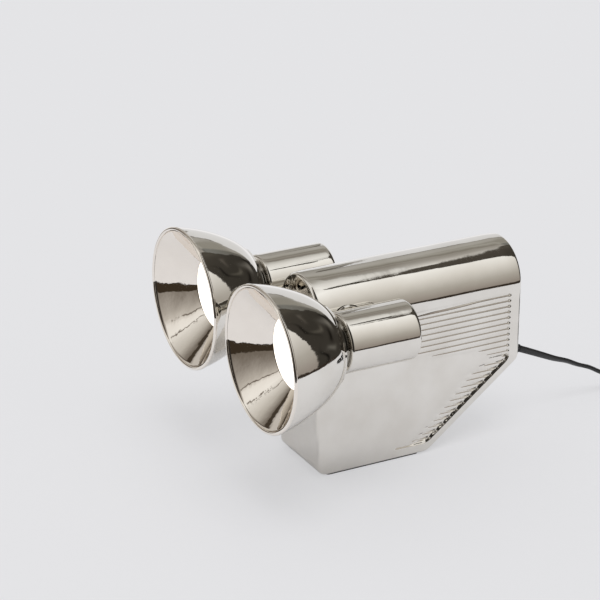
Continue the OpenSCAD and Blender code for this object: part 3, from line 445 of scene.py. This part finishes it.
def distanceTo(points, line):
    # shortest distance from each point to the line's stretches
    best = np.full(points.shape[:-1], np.inf)
    for a, b in zip(line[:-1], line[1:]):
        run = b - a
        t = np.clip(((points - a) @ run) / (run @ run), 0, 1)
        best = np.minimum(best, np.linalg.norm(points - a - t[..., None] * run, axis=-1))
    return best


def edgeDrop(distance, values):
    # how far the face falls at a distance inside the outline: a wide shallow parabola and a quarter circle
    inside = np.clip(values["edge"] - distance, 0, None)
    soft = values["easeDepth"] * np.clip(1 - distance / values["ease"], 0, 1) ** 2
    return soft + values["edge"] - np.sqrt(values["edge"] ** 2 - np.minimum(inside, values["edge"]) ** 2)


def panelDepth(y, z, fromBack, values):
    # inside the panel the face sinks softly from the left and steeply from the other borders. Cosine
    # grooves a pitch apart, deeper at their rear ends, part its ribs, and the ribs fade towards the
    # left into the panel's level
    corner = values["panelCorner"]
    sides = np.stack([y - values["panelLeft"],
                      (z - values["panelBottom"]) * values["softEdge"] / values["softBottom"],
                      values["panelTop"] - z, fromBack])
    inset = corner - np.sqrt((np.clip(corner - sides, 0, None) ** 2).sum(axis=0))
    soft = smoothStep(inset / values["softEdge"]) * smoothStep(sides[0] / values["softLeft"])
    reach = np.interp(z, values["reachHeights"], values["reaches"])
    strength = smoothStep((reach - fromBack * values["reachScale"]) / (reach * values["reachFade"]))
    phase = (z - values["ribStart"]) / values["ribPitch"]
    toGroove = np.abs(phase - np.round(phase)) * values["ribPitch"]
    valley = 0.5 + 0.5 * np.cos(np.pi * np.clip(2 * toGroove / values["grooveWidth"], 0, 1))
    low = 1 - smoothStep((z - values["lowTop"]) / values["lowBlend"] + 0.5)
    crest = values["ribCrest"] + (values["lowCrest"] - values["ribCrest"]) * low
    tooth = values["highTooth"] + (values["lowTooth"] - values["highTooth"]) * low
    deep = values["grooveDepth"] + values["toothDepth"] * smoothStep(1 - fromBack / tooth)
    bar = crest + deep * valley + values["ribRound"] * (1 - 2 * toGroove / values["ribPitch"]) ** 2
    return soft * (values["panelLevel"] + strength * (bar - values["panelLevel"]))


def edgeSteps(values):
    # distances inside the outline: even steps round the quarter circle, then even steps over the easing
    edge = values["edge"]
    return np.concatenate([edge * (1 - np.cos(np.radians(np.linspace(0, 90, 9)))),
                           edge + (values["ease"] - edge) * np.linspace(0, 1, 9)[1:]])


def sideHeights(values):
    # the rows' heights: round the bottom edge, at the same shares of each rib, and on the panel's walls
    shares = np.array([0, 0.04, 0.08, 0.12, 0.16, 0.2, 0.25, 0.5, 0.75, 0.8, 0.84, 0.88, 0.92, 0.96])
    ribCount = int(round((values["panelTop"] - values["ribStart"]) / values["ribPitch"]))
    ribRows = values["ribStart"] + values["ribPitch"] * (np.arange(ribCount)[:, None] + shares)
    low = values["bottom"] + edgeSteps(values)
    wall = np.array([0, 0.2, 0.4, 0.6, 0.8, 1.0])
    return np.unique(np.round(np.concatenate([
        low[low < values["ribStart"]], ribRows.ravel(),
        values["panelBottom"] + values["softBottom"] * wall,
        values["panelTop"] - values["softEdge"] * wall,
        values["panelTop"] + np.array([0, 0.4, 1.3, 3.0]),
        [values["top"] - values["halfWidth"]]]), 4))


def spread(start, end, count):
    # even columns from start up to end, which belongs to the next stretch
    return start + (end - start) * np.linspace(0, 1, count, endpoint=False)[None, :]


def bodySide(values):
    # rows climb the side; columns run from the middle of the front face, round the edge, along the side
    # and round the rear edge to the middle of the back
    z = sideHeights(values)
    frontLine, rearLine = bodyOutline(values)
    y0 = np.interp(z, frontLine[::-1, 1], frontLine[::-1, 0])[:, None]
    y1 = np.interp(z, rearLine[:, 1], rearLine[:, 0])[:, None]

    # along the slant, widths across the border are drawn out to their run in y
    rise = values["slantTop"] - values["bottom"]
    slope = np.hypot(values["slantLength"], rise) / rise
    upright = smoothStep((z - values["slantTop"] + 6) / values["borderBlend"])[:, None]
    widen = slope + (1 - slope) * upright
    borderWidth = values["borderSlant"] + (values["borderBack"] - values["borderSlant"]) * upright
    border = y1 - borderWidth * widen

    # the columns lie closer over the panel's left wall and across its rear wall
    nearWall, pastWall = values["panelLeft"] - 1, values["panelLeft"] + 8
    fillet = edgeSteps(values)
    insets = np.array([5.6, 4.4, 3.4, 2.8, 2.4, 2.2, 1.95, 1.7, 1.45, 1.2, 0.95, 0.7, 0.45, 0.2,
                       0, -0.2, -0.6])
    rear = np.concatenate([[5.4, 4.4, 3.5], fillet[8::-1]])
    y = np.concatenate([
        y0 + fillet[None, :],
        spread(y0 + fillet[-1] + 2, nearWall, 6),
        spread(np.full_like(y0, nearWall), pastWall, 12),
        spread(np.full_like(y0, pastWall), border - 6.5 * widen, 26),
        border - insets[None, :] * widen,
        y1 - rear[None, :] * widen], axis=1)
    here = np.stack([y, np.broadcast_to(z[:, None], y.shape)], axis=-1)
    x = values["halfWidth"] - edgeDrop(distanceTo(here, np.concatenate([frontLine, rearLine])), values)
    x -= panelDepth(y, here[..., 1], (border - y) / widen, values)

    # the flat front and back faces, from the middle out
    flat = np.array([0, 0.3, 0.6, 0.85, 0.97])[None, :]
    facesX = np.repeat(flat * (values["halfWidth"] - (values["edge"] + values["easeDepth"])), len(z), 0)
    allX = np.concatenate([facesX, x, facesX[:, ::-1]], axis=1)
    allY = np.concatenate([np.repeat(y0, flat.size, 1), y, np.repeat(y1, flat.size, 1)], axis=1)
    return np.stack([allX, allY, np.broadcast_to(z[:, None], allX.shape)], axis=-1)


def bodyTop(last, values):
    # the side's last row turned about the round top's axis
    turn = np.radians(np.linspace(0, 90, values["topSteps"] + 1)[1:])[:, None]
    return np.stack([np.cos(turn) * last[:, 0],
                     np.broadcast_to(last[:, 1], (len(turn), len(last))),
                     values["top"] - values["halfWidth"] + np.sin(turn) * last[:, 0]], axis=-1)


def bodyUnderside(low, values):
    # the side's first row drawn in to the ledge that the base plate covers, and up its hole
    across = low[:, 0] / low[:, 0].max()
    along = (low[:, 1] - low[0, 1]) / (low[-1, 1] - low[0, 1])
    rows = []
    for recess, height in (("hatch", "hatchTop"), ("hatch", "ledgeTop"), ("ledge", "ledgeTop"),
                           ("ledge", "bottom")):
        half, y0, y1 = values[recess]
        rows.append(np.stack([across * half, y0 + along * (y1 - y0),
                              np.full(len(low), values[height])], axis=1))
    return np.stack(rows)


def ringsOnSide(profile, side, y, z):
    # a profile of (radius, distance from the lamp's middle) carried round an axis along x
    angle = np.linspace(0, 2 * np.pi, pivotRingPoints, endpoint=False)
    return np.stack([np.broadcast_to(side * profile[:, 1:], (len(profile), pivotRingPoints)),
                     y + profile[:, :1] * np.cos(angle),
                     z + profile[:, :1] * np.sin(angle)], axis=-1)


def bodySkin(values):
    # one grid from the hatch's roof down, over the side and the round top, and its mirror image; one
    # face closes the roof
    side = bodySide(values)
    half = np.concatenate([bodyUnderside(side[0], values), side, bodyTop(side[-1], values)])
    rows, cols = half.shape[:2]
    points = np.concatenate([half.reshape(-1, 3), (half * [-1, 1, 1]).reshape(-1, 3)])
    faces = gridFaces(rows, cols) + gridFaces(rows, cols, start=rows * cols)
    faces.append(list(range(cols)) + [rows * cols + k for k in range(cols - 2, 0, -1)])

    # the pivots' seats, turned discs standing on both sides
    r, rise, w = values["seatRadius"], values["seatRise"], values["halfWidth"]
    profile = roundedLine([(0, w + rise), (r, w + rise), (r + rise * 0.8, w - 0.5)], [rise * 0.7], 5)
    for sign in (1, -1):
        seat = ringsOnSide(profile, sign, *values["seatSpot"])
        faces += gridFaces(*seat.shape[:2], closedCols=True, start=len(points))
        points = np.concatenate([points, seat.reshape(-1, 3)])
    return linkMesh("bodySkin", points, faces)


dress(bodySkin(body), "lustre_glaze", "base", "body_shell")
print("body skin ready")


# turned skins on each head's axis
head = {
    "gap": 135, "height": 134, "rim": -130.5,
    "bellRadius": 59, "bellLength": 62.7, "neckRadius": 21.6, "wall": 2.5, "endWall": 4,
    "rimCurve": 1.88, "neckCurve": 1.29, "lip": 1.5, "underLip": 0.024, "noseRadius": 17,
    "coneDepth": 28, "coneThickness": 1.4, "coneEnd": 33.5, "lensRadius": 28, "lensThickness": 2.5,
    "groove": 5.3, "collarRadius": 21.5, "grooveRadius": 18.5, "waistHollow": 1.2, "collarEnd": 85.2,
    "collarBore": 17.5, "neckBore": 16, "neckOverlap": 6,
    "canRadius": 24.5, "canLength": 63.5, "canWall": 3, "canFrontRound": 2.2, "canBackRound": 4,
    "pivotY": -33.5, "bossFace": 37.1, "bossRadius": 11.5, "bossBore": 5.1, "bossFoot": 45.5,
    "footDepth": 0.6, "segments": 240,
}


def turnedPoints(profile, side):
    # a profile of (radius, distance behind the rim) carried round the head's axis
    segments = head["segments"]
    angle = np.linspace(0, 2 * np.pi, segments, endpoint=False)
    r, y = profile[:, :1], profile[:, 1:]
    return np.stack([side * head["gap"] / 2 + r * np.cos(angle),
                     head["rim"] + np.broadcast_to(y, (len(profile), segments)),
                     head["height"] + r * np.sin(angle)], axis=-1)


def turnedSkin(name, profile, side, closed=True):
    # closed: the profile is a loop; otherwise it runs from the axis to the axis
    rings = turnedPoints(profile, side)
    faces = gridFaces(*rings.shape[:2], closedRows=closed, closedCols=True)
    return linkMesh(name, rings.reshape(-1, 3), faces)


def bellAt(s):
    # radius and place at a share of the length: a power curve, full at the rim and thin into the neck
    fall = (1 - s ** head["neckCurve"]) ** (1 / head["rimCurve"])
    return np.stack([head["neckRadius"] + (head["bellRadius"] - head["neckRadius"]) * fall,
                     s * head["bellLength"]], axis=1)


def bellProfile():
    # the outer wall falls from under the lip to the neck, in steps that grow shorter; the inner one
    # follows it a wall's thickness inside
    s = 1 - (1 - np.linspace(0, 1, 72)) ** 1.5
    s = np.concatenate([[head["underLip"]], s[s > head["underLip"] + 0.002]])
    outer = bellAt(s)
    run = np.gradient(outer, axis=0)
    run /= np.linalg.norm(run, axis=1, keepdims=True)
    inner = outer + np.stack([-run[:, 1], run[:, 0]], axis=1) * head["wall"]
    end = head["bellLength"]
    inner = inner[(inner[:, 1] < end - head["endWall"]) & (s < 0.9)][::3]
    nose = head["noseRadius"]
    return np.concatenate([
        outer, [[nose, end], [nose, end - head["endWall"]], [inner[-1, 0], end - head["endWall"]]],
        inner[::-1]])


def conePoints():
    # a lip rolled over the rim in an arc, the straight cone down to the lens, and its back
    lip, rim = head["lip"], head["bellRadius"]
    turn = np.radians(np.linspace(-30, 180, 25))
    roll = np.stack([rim - lip + lip * np.cos(turn), lip - lip * np.sin(turn)], axis=1)
    mouth, throat = roll[-1], np.array([head["lensRadius"], head["coneDepth"]])
    straight = mouth + (throat - mouth) * np.linspace(0, 1, 24)[1:, None]
    seat, t = head["lensRadius"] + 0.75, head["coneThickness"]
    depth, end = head["coneDepth"], head["coneEnd"]
    back = np.array([[seat, depth], [seat, end], [seat + t, end], [seat + t, depth - 0.4],
                     [mouth[0] - 1.0 + t, mouth[1] + 4.0]])
    return np.concatenate([roll, straight, back])


def lensProfile():
    # a flat disc just behind the cone's throat, out along its front and back along its rear, with a
    # little room in the cone's seat
    seat, y0 = head["lensRadius"] + 0.7, head["coneDepth"] + 0.02
    crown = np.linspace(0, 1, 8)[:, None]
    front = np.concatenate([crown * seat, y0 + 0 * crown], axis=1)
    rear = np.concatenate([crown[::-1] * seat, y0 + head["lensThickness"] + 0 * crown], axis=1)
    return np.concatenate([front, rear])


def collarProfile():
    # the narrow neck between bell and can, hollowed by a parabola as a pulley is, with its tube running
    # on into the can
    y0, y1 = head["bellLength"], head["bellLength"] + head["groove"]
    r, waist = head["collarRadius"], head["grooveRadius"]
    t = np.linspace(0, 1, 12)[:, None]
    hollow = np.concatenate([waist + head["waistHollow"] * (2 * t - 1) ** 2, y0 + (y1 - y0) * t], axis=1)
    foot, end = y0 - head["neckOverlap"], head["collarEnd"]
    outer = np.concatenate([[[waist - 1, foot]], hollow,
                            [[waist, y1 + 1.5], [r - 0.1, y1 + 1.5], [r - 0.1, end]]])
    bore, neck = head["collarBore"], head["neckBore"]
    inner = np.array([[bore, end], [bore, y1], [neck, y1 - 1.5], [neck, foot]])
    return evenLine(np.concatenate([outer, inner]), 2.5)


def canProfile():
    # the outer wall with its rounded corners, from the collar to the axis, and the inner wall back again
    y0 = head["bellLength"] + head["groove"]
    y1 = y0 + head["canLength"]
    r, wall = head["canRadius"], head["canWall"]
    outer = roundedLine([(head["grooveRadius"] + 0.6, y0), (r, y0), (r, y1), (0, y1)],
                        [head["canFrontRound"], head["canBackRound"]], 10)
    inner = roundedLine([(0, y1 - wall), (r - wall, y1 - wall), (r - wall, head["collarEnd"] + 0.2),
                         (head["collarRadius"], head["collarEnd"]), (head["collarRadius"], y0 + 1.4),
                         (head["grooveRadius"] + 0.6, y0 + 1.4)],
                        [1.5, 0, 0, 0], 3)
    return evenLine(outer, 2.2), inner


def canSkin(name, side):
    # the can, and the boss that meets the body's seat, with a soft foot where it grows out of the can
    outer, inner = canProfile()
    rings = turnedPoints(np.concatenate([outer, inner[:-1]]), side)
    faces = gridFaces(*rings.shape[:2], closedCols=True)
    faces += gridFaces(2, head["segments"], closedCols=True, start=len(rings) * head["segments"])
    points = np.concatenate([rings.reshape(-1, 3), rings[-1], rings[0]])
    x0, r = head["bossFace"], head["bossRadius"]
    profile = roundedLine([(head["bossBore"], x0), (r, x0), (r, head["bossFoot"])], [0.8], 5)
    boss = ringsOnSide(profile, side, head["pivotY"], head["height"])
    # the foot follows the can's round side: its last ring lies just inside the can's skin
    height = boss[-1, :, 2] - head["height"]
    skin = head["canRadius"] - head["footDepth"]
    boss[-1, :, 0] = side * (head["gap"] / 2 - np.sqrt(skin ** 2 - height ** 2))
    faces += gridFaces(*boss.shape[:2], closedCols=True, start=len(points))
    points = np.concatenate([points, boss.reshape(-1, 3)])
    return linkMesh(name, points, faces)


for side, label in ((1, "right"), (-1, "left")):
    bodyName = label + "_head"
    bell = turnedSkin(label + "BellSkin", bellProfile(), side)
    dress(bell, "lustre_glaze", bodyName, label + "_bell")
    cone = turnedSkin(label + "ConeSkin", conePoints(), side)
    dress(cone, "mirror_cone", bodyName, label + "_reflector")
    lens = turnedSkin(label + "LensDisc", lensProfile(), side, closed=False)
    dress(lens, "opal_lens", bodyName, label + "_lens")
    collar = turnedSkin(label + "CollarSkin", collarProfile(), side)
    dress(collar, "mirror_cone", bodyName, label + "_collar")
    # the collar gets the darkened lustre: painted shade for the shadowed gap between bell and can
    collar.data.materials[0] = shadedNeckLustre
    dress(canSkin(label + "CanSkin", side), "lustre_glaze", bodyName, label + "_can")
print("heads ready")


# pale paper, and the studio that only the mirror sees
stage = {
    "paperRadius": 0.59, "floorRadius": 7, "rimPoints": 128,  # metres
    "paper": (0.80, 0.80, 0.82), "paperSeen": (0.776, 0.776, 0.791),
    "cameraShare": 0.6, "mirrorShare": 0.1,  # how much of the paper's paleness is its own
    "ambient": 0.73, "sun": 0.8, "sunAngle": 32, "sunFrom": (0.33, -0.05, 1.0),
    "domeRadius": 2.5, "domeCentre": (0, 0, 0.134), "domeLow": -28, "domeStep": 0.5,  # metres, degrees
    "mirrorTint": (0.84, 0.81, 0.765), "coneTint": (0.92, 0.865, 0.80),
}


def fromScreen(colour, tint):
    # a colour of 0 to 255 as it looks in a mirror of that tint, turned into the light that has to reach it
    c = np.asarray(colour, float) / 255
    linear = np.where(c <= 0.04045, c / 12.92, ((c + 0.055) / 1.055) ** 2.4)
    return linear / np.array(tint)


# outlines of the paper, and of the dark wall's top, right and left sides: each a list of
# (azimuth or elevation, limit) in degrees
paperTop = [(112.5, 2), (114, 9.5), (120.5, 17), (124, 22.4), (128, 25.3), (137, 24.8), (143, 30),
            (149, 31.2), (150.4, 23), (151.5, 14), (160, 12)]
darkTop = [(59, 59.2), (61, 60.2), (65, 60), (72.5, 60.9), (77, 60.9), (80, 60.2), (82.4, 59.2),
           (85, 58.8), (91, 58.4), (94, 57.7), (97, 57.1), (105, 54.5), (109, 48.3), (110, 44)]
darkRight = [(12, 61), (20, 62.6), (26, 62.6), (35, 65), (44, 64), (51, 60.5), (58, 59.5)]
darkLeft = [(3, 112.5), (17, 113), (22, 114), (28.6, 113), (33, 109), (48, 109)]

# each panel: azimuth and elevation limits in degrees, each a number or a list of points along the other
# angle; how soft its low side, its high side and its ends are; and its colour, up its height as "ramp" or
# along its azimuth as "sweep". "tint" is the mirror that shows it, "spots" are (middle, size, colour).
studio = [
    {"az": (-180, 180), "el": (-60, 100), "soft": (0, 0, 1),
     "ramp": [(0, (40, 37, 33)), (90, (52, 49, 44))]},
    # the front and left, seen in the cones
    {"az": (-200, -62), "el": (-60, 100), "soft": (6, 6, 1), "tint": "coneTint",
     "sweep": [(-164, (188, 179, 168)), (-150, (112, 102, 91)), (-134, (182, 174, 162)),
               (-104, (232, 225, 214)), (-94, (226, 218, 207)), (-88, (190, 181, 169)),
               (-68, (110, 100, 89))]},
    {"az": (-100, -60), "el": (-60, -3), "soft": (3, 3, 1), "tint": "coneTint",
     "ramp": [(0, (54, 44, 33))]},
    {"az": (-89.6, -87.9), "el": (24, 31), "soft": (0.8, 0.8, 2), "tint": "coneTint",
     "ramp": [(0, (92, 80, 68))]},
    {"az": ([(31.9, -108.6), (32.6, -109.2), (33.3, -114.4), (33.9, -116)],
            [(31.9, -106.8), (32.6, -107.4), (33.3, -112.6), (33.9, -114.2)]),
     "el": (29, 38), "soft": (0.8, 0.8, 2), "tint": "coneTint", "ramp": [(0, (104, 92, 80))]},
    {"az": ([(9, -159.5), (13, -158), (16, -160), (19, -157.5), (23, -158)],
            [(9, -152), (13, -151.4), (16, -153), (19, -150.6), (23, -152)]),
     "el": (-60, 100), "soft": (1.2, 1.2, 1), "tint": "coneTint", "ramp": [(0, (62, 53, 43))]},
    {"az": (-215, -161), "el": (-60, 100), "soft": (3, 2, 1), "tint": "coneTint",
     "ramp": [(0, (188, 179, 168))]},
    # overhead, paler towards the right
    {"az": (50, 180), "el": (48, 61.5), "soft": (3, 8, 2),
     "sweep": [(55, (236, 232, 224)), (80, (213, 208, 199)), (105, (157, 151, 142)),
               (125, (128, 121, 111)), (140, (146, 140, 130))]},
    {"az": (50, 180), "el": (61.5, 100), "soft": (3, 8, 2),
     "sweep": [(57, (236, 232, 224)), (93, (211, 207, 199)), (127, (158, 153, 143)),
               (140, (148, 142, 132))]},
    {"az": (50, 180), "el": (76, 100), "soft": (6, 6, 12), "ramp": [(0, (204, 199, 191))]},
    # the olive card
    {"az": (116, 182), "el": (-60, 55), "soft": (3, 3, 3),
     "ramp": [(12, (126, 121, 112)), (20, (146, 141, 132)), (42, (163, 158, 149)),
              (47, (156, 151, 141)), (52.5, (124, 118, 107)), (55, (150, 144, 134))]},
    {"az": (117, 134), "el": (27, 46), "soft": (3, 8, 4), "ramp": [(0, (138, 133, 122))]},
    {"az": (106, 118), "el": (16, 48), "soft": (2, 4, 5),
     "ramp": [(27, (98, 94, 86)), (42, (114, 112, 105))]},
    # the dark wall
    {"az": (darkRight, darkLeft), "el": (-60, darkTop), "soft": (1, 1.2, 0.8),
     "ramp": [(0, (54, 50, 44)), (30, (53, 49, 43)), (50, (62, 57, 50)), (58, (72, 66, 58))],
     "spots": [((104, 50), (9, 9), (74, 69, 60)), ((101, 16), (5, 6), (104, 99, 91)),
               ((85, 23), (7, 2), (82, 77, 68)), ((82, 1), (5, 3), (92, 88, 80)),
               ((108, 17), (2, 6), (18, 16, 12)), ((90, 11), (4, 4), (24, 21, 17)),
               ((68.5, -3), (2, 10), (16, 14, 11)), ((98, -9), (4, 2), (16, 14, 11)),
               ((76, 30), (2, 10), (28, 25, 21)), ((93, 36), (5, 2), (80, 74, 66))]},
    # the pale backdrop, with a thin dark line along its far edge
    {"az": (134, 151), "el": (20, [(134, 26.4), (137, 26.2), (143, 31.5), (149, 32.8)]),
     "soft": (3, 1, 0.6), "ramp": [(0, (98, 92, 84))]},
    {"az": (112.5, 186), "el": (-60, paperTop), "soft": (1, 4, 0.8),
     "ramp": [(-24, (172, 168, 162)), (-8, (222, 218, 215)), (-2, (234, 230, 227)),
              (6, (211, 208, 204)), (31, (204, 201, 197))]},
    # the cream panel
    {"az": (12, darkRight), "el": (-60, 61), "soft": (16, 1, 2),
     "ramp": [(-8, (142, 132, 122)), (11, (168, 161, 150)), (36, (211, 205, 195)),
              (60, (241, 237, 229))]},
    {"az": (12, 60), "el": (60, 100), "soft": (16, 8, 2),
     "ramp": [(60, (239, 235, 227)), (80, (206, 201, 193))]},
    # the paper's edge, dark against the room
    {"az": (14, 82),
     "el": (-60, [(14, -9.6), (24, -9.1), (25.2, -9.9), (27, -9.0), (29, -9.8), (31, -9.2), (38, -9.8),
                  (46, -9.4), (52, -10), (60, -10.3), (80, -10)]),
     "soft": (3, 3, 0.8), "ramp": [(0, (50, 42, 34))]},
]

# a dark strip hanging near the lamp, seen in the near can's top and the front of the round top: its
# middle and half width in x at each y, and its height, all in metres
overheadStrip = {
    "y": (0.150, 0.168, 0.185, 0.200, 0.215, 0.230, 0.236),
    "middle": (0.144, 0.143, 0.142, 0.141, 0.140, 0.139, 0.139),
    "half": (0.007, 0.010, 0.012, 0.018, 0.021, 0.026, 0.028),
    "z": 0.627, "colour": (62, 58, 50),
}


def limitAt(limit, at):
    # a limit that is one number, or its value along the other angle, a little wavy
    if not isinstance(limit, list):
        return limit
    wave = 0.3 * np.sin(0.9 * at) + 0.25 * np.sin(2.3 * at + 1) + 0.2 * np.sin(4.1 * at + 2)
    return np.interp(at, *zip(*limit)) + wave


def between(low, high, at, lowSoft, highSoft):
    # 1 between the two limits and 0 outside them, with soft edges
    return smoothStep((high - at) / highSoft + 0.5) * smoothStep((at - low) / lowSoft + 0.5)


def panelShade(panel, here, el):
    # the panel's colour at each point, from its ramp or sweep, with its spots as soft bent ellipses on it
    tint = stage[panel.get("tint", "mirrorTint")]
    steps = panel.get("ramp") or panel["sweep"]
    shades = np.array([fromScreen(colour, tint) for _, colour in steps])
    across = el if "ramp" in panel else here
    shade = np.stack([np.interp(across, [at for at, _ in steps], shades[:, k]) for k in range(3)],
                     axis=-1)
    for (spotAz, spotEl), (wide, high), colour in panel.get("spots", ()):
        bent = here + 3 * np.sin(0.27 * el) - spotAz
        lifted = el + 2 * np.sin(0.3 * here + 1) - spotEl
        near = np.exp(-(bent / wide) ** 2 - (lifted / high) ** 2)[..., None]
        shade = shade + (fromScreen(colour, tint) - shade) * near
    return shade


def surroundColour(az, el):
    # each panel in turn is laid over what is there, through a mask with soft edges
    colour = np.zeros(az.shape + (3,))
    for panel in studio:
        ends = [np.mean([step[1] for step in end]) if isinstance(end, list) else end
                for end in panel["az"]]
        middle = sum(ends) / 2
        here = middle + (az - middle + 180) % 360 - 180
        lowSoft, highSoft, elSoft = panel["soft"]
        mask = between(limitAt(panel["el"][0], here), limitAt(panel["el"][1], here), el, elSoft, elSoft)
        if highSoft:
            mask = mask * between(limitAt(panel["az"][0], el), limitAt(panel["az"][1], el), here,
                                  lowSoft, highSoft)
        mask = mask[..., None]
        colour = colour * (1 - mask) + panelShade(panel, here, el) * mask
    return colour


def onlyForMirrors(obj):
    # stage that neither the camera nor the light on the paper sees
    obj.visible_camera = obj.visible_diffuse = obj.visible_shadow = obj.visible_transmission = False


def glowMaterial():
    # light as written in each point's own colour
    material = bpy.data.materials.new("surroundGlow")
    material.use_nodes = True
    material.cycles.emission_sampling = "NONE"
    tree = material.node_tree
    tree.nodes.clear()
    out = tree.nodes.new("ShaderNodeOutputMaterial")
    glow = tree.nodes.new("ShaderNodeEmission")
    read = tree.nodes.new("ShaderNodeAttribute")
    read.attribute_name = "surround"
    tree.links.new(read.outputs["Color"], glow.inputs["Color"])
    tree.links.new(glow.outputs["Emission"], out.inputs["Surface"])
    return material


surroundGlow = glowMaterial()


def addSurround(name, points, colour):
    # a grid of points in metres that glows with a colour at each point
    mesh = bpy.data.meshes.new(name)
    mesh.from_pydata(points.reshape(-1, 3).tolist(), [], gridFaces(*points.shape[:2]))
    shades = mesh.attributes.new("surround", "FLOAT_COLOR", "POINT")
    opaque = np.ones(colour.shape[:2] + (1,))
    shades.data.foreach_set("color", np.concatenate([colour, opaque], axis=-1).ravel())
    obj = bpy.data.objects.new(name, mesh)
    bpy.context.scene.collection.objects.link(obj)
    mesh.materials.append(surroundGlow)
    onlyForMirrors(obj)


def makeStudio():
    # the dome is part of a sphere round the lamp, coloured by direction
    step = stage["domeStep"]
    az, el = np.meshgrid(np.arange(0, 360 + step, step), np.arange(stage["domeLow"], 90 + step, step))
    a, e = np.radians(az), np.radians(el)
    direction = np.stack([np.cos(e) * np.cos(a), np.cos(e) * np.sin(a), np.sin(e)], axis=-1)
    addSurround("studioSurround", np.array(stage["domeCentre"]) + direction * stage["domeRadius"],
                surroundColour(az, el))

    strip = overheadStrip
    across = np.array(strip["middle"]) + np.array([[-1], [1]]) * np.array(strip["half"])
    points = np.stack([across, np.broadcast_to(strip["y"], across.shape),
                       np.full(across.shape, strip["z"])], axis=-1)
    colour = fromScreen(strip["colour"], stage["mirrorTint"])
    addSurround("overheadStrip", points, np.broadcast_to(colour, points.shape))


def makeFloor():
    # the paper keeps the shadows, and part of its paleness is its own where the camera or a mirror sees it
    material, shader = newMaterial("paleFloor", Base_Color=(*stage["paper"], 1), Roughness=1.0)
    shader.inputs["Specular IOR Level"].default_value = 0
    tree = material.node_tree
    path = tree.nodes.new("ShaderNodeLightPath")
    glow = tree.nodes.new("ShaderNodeEmission")
    glow.inputs["Color"].default_value = (*stage["paperSeen"], 1)
    byCamera, byMirror = (tree.nodes.new("ShaderNodeMath") for k in range(2))
    byCamera.operation, byMirror.operation = "MULTIPLY", "MULTIPLY_ADD"
    byCamera.inputs[1].default_value = stage["cameraShare"]
    byMirror.inputs[1].default_value = stage["mirrorShare"]
    mixed = tree.nodes.new("ShaderNodeMixShader")
    out = tree.nodes["Material Output"]
    tree.links.new(path.outputs["Is Camera Ray"], byCamera.inputs[0])
    tree.links.new(path.outputs["Is Glossy Ray"], byMirror.inputs[0])
    tree.links.new(byCamera.outputs[0], byMirror.inputs[2])
    tree.links.new(byMirror.outputs[0], mixed.inputs["Fac"])
    tree.links.new(shader.outputs["BSDF"], mixed.inputs[1])
    tree.links.new(glow.outputs["Emission"], mixed.inputs[2])
    tree.links.new(mixed.outputs["Shader"], out.inputs["Surface"])
    # the paper is a disc, and the floor a ring round it that the mirror doesn't see
    count = stage["rimPoints"]
    angle = np.linspace(0, 2 * np.pi, count, endpoint=False)
    circle = np.stack([np.cos(angle), np.sin(angle), 0 * angle], axis=1) / mm
    paper = linkMesh("paperFloor", circle * stage["paperRadius"], [list(range(count))])
    both = np.concatenate([circle * stage["paperRadius"], circle * stage["floorRadius"]])
    beyond = linkMesh("floorBeyond", both, gridFaces(2, count, closedCols=True))
    beyond.visible_glossy = False
    for obj in (paper, beyond):
        obj.data.materials.append(material)


def makeLight():
    # an even grey light, which the camera sees in the paper's own colour, and a wide soft sun
    world = bpy.data.worlds.new("paleRoom")
    world.use_nodes = True
    tree = world.node_tree
    light = tree.nodes["Background"]
    light.inputs["Color"].default_value = (1, 1, 1, 1)
    light.inputs["Strength"].default_value = stage["ambient"]
    seen = tree.nodes.new("ShaderNodeBackground")
    seen.inputs["Color"].default_value = (*stage["paperSeen"], 1)
    path = tree.nodes.new("ShaderNodeLightPath")
    mixed = tree.nodes.new("ShaderNodeMixShader")
    tree.links.new(path.outputs["Is Camera Ray"], mixed.inputs["Fac"])
    tree.links.new(light.outputs["Background"], mixed.inputs[1])
    tree.links.new(seen.outputs["Background"], mixed.inputs[2])
    tree.links.new(mixed.outputs["Shader"], tree.nodes["World Output"].inputs["Surface"])
    bpy.context.scene.world = world
    lamp = bpy.data.lights.new("softSun", "SUN")
    lamp.energy = stage["sun"]
    lamp.angle = np.radians(stage["sunAngle"])
    obj = bpy.data.objects.new("softSun", lamp)
    direction = np.array(stage["sunFrom"]) / np.linalg.norm(stage["sunFrom"])
    obj.rotation_euler = (float(np.arctan2(-direction[1], direction[2])),
                          float(np.arcsin(direction[0])), 0)
    obj.visible_glossy = False
    bpy.context.scene.collection.objects.link(obj)


makeStudio()
makeFloor()
makeLight()
print("stage ready")
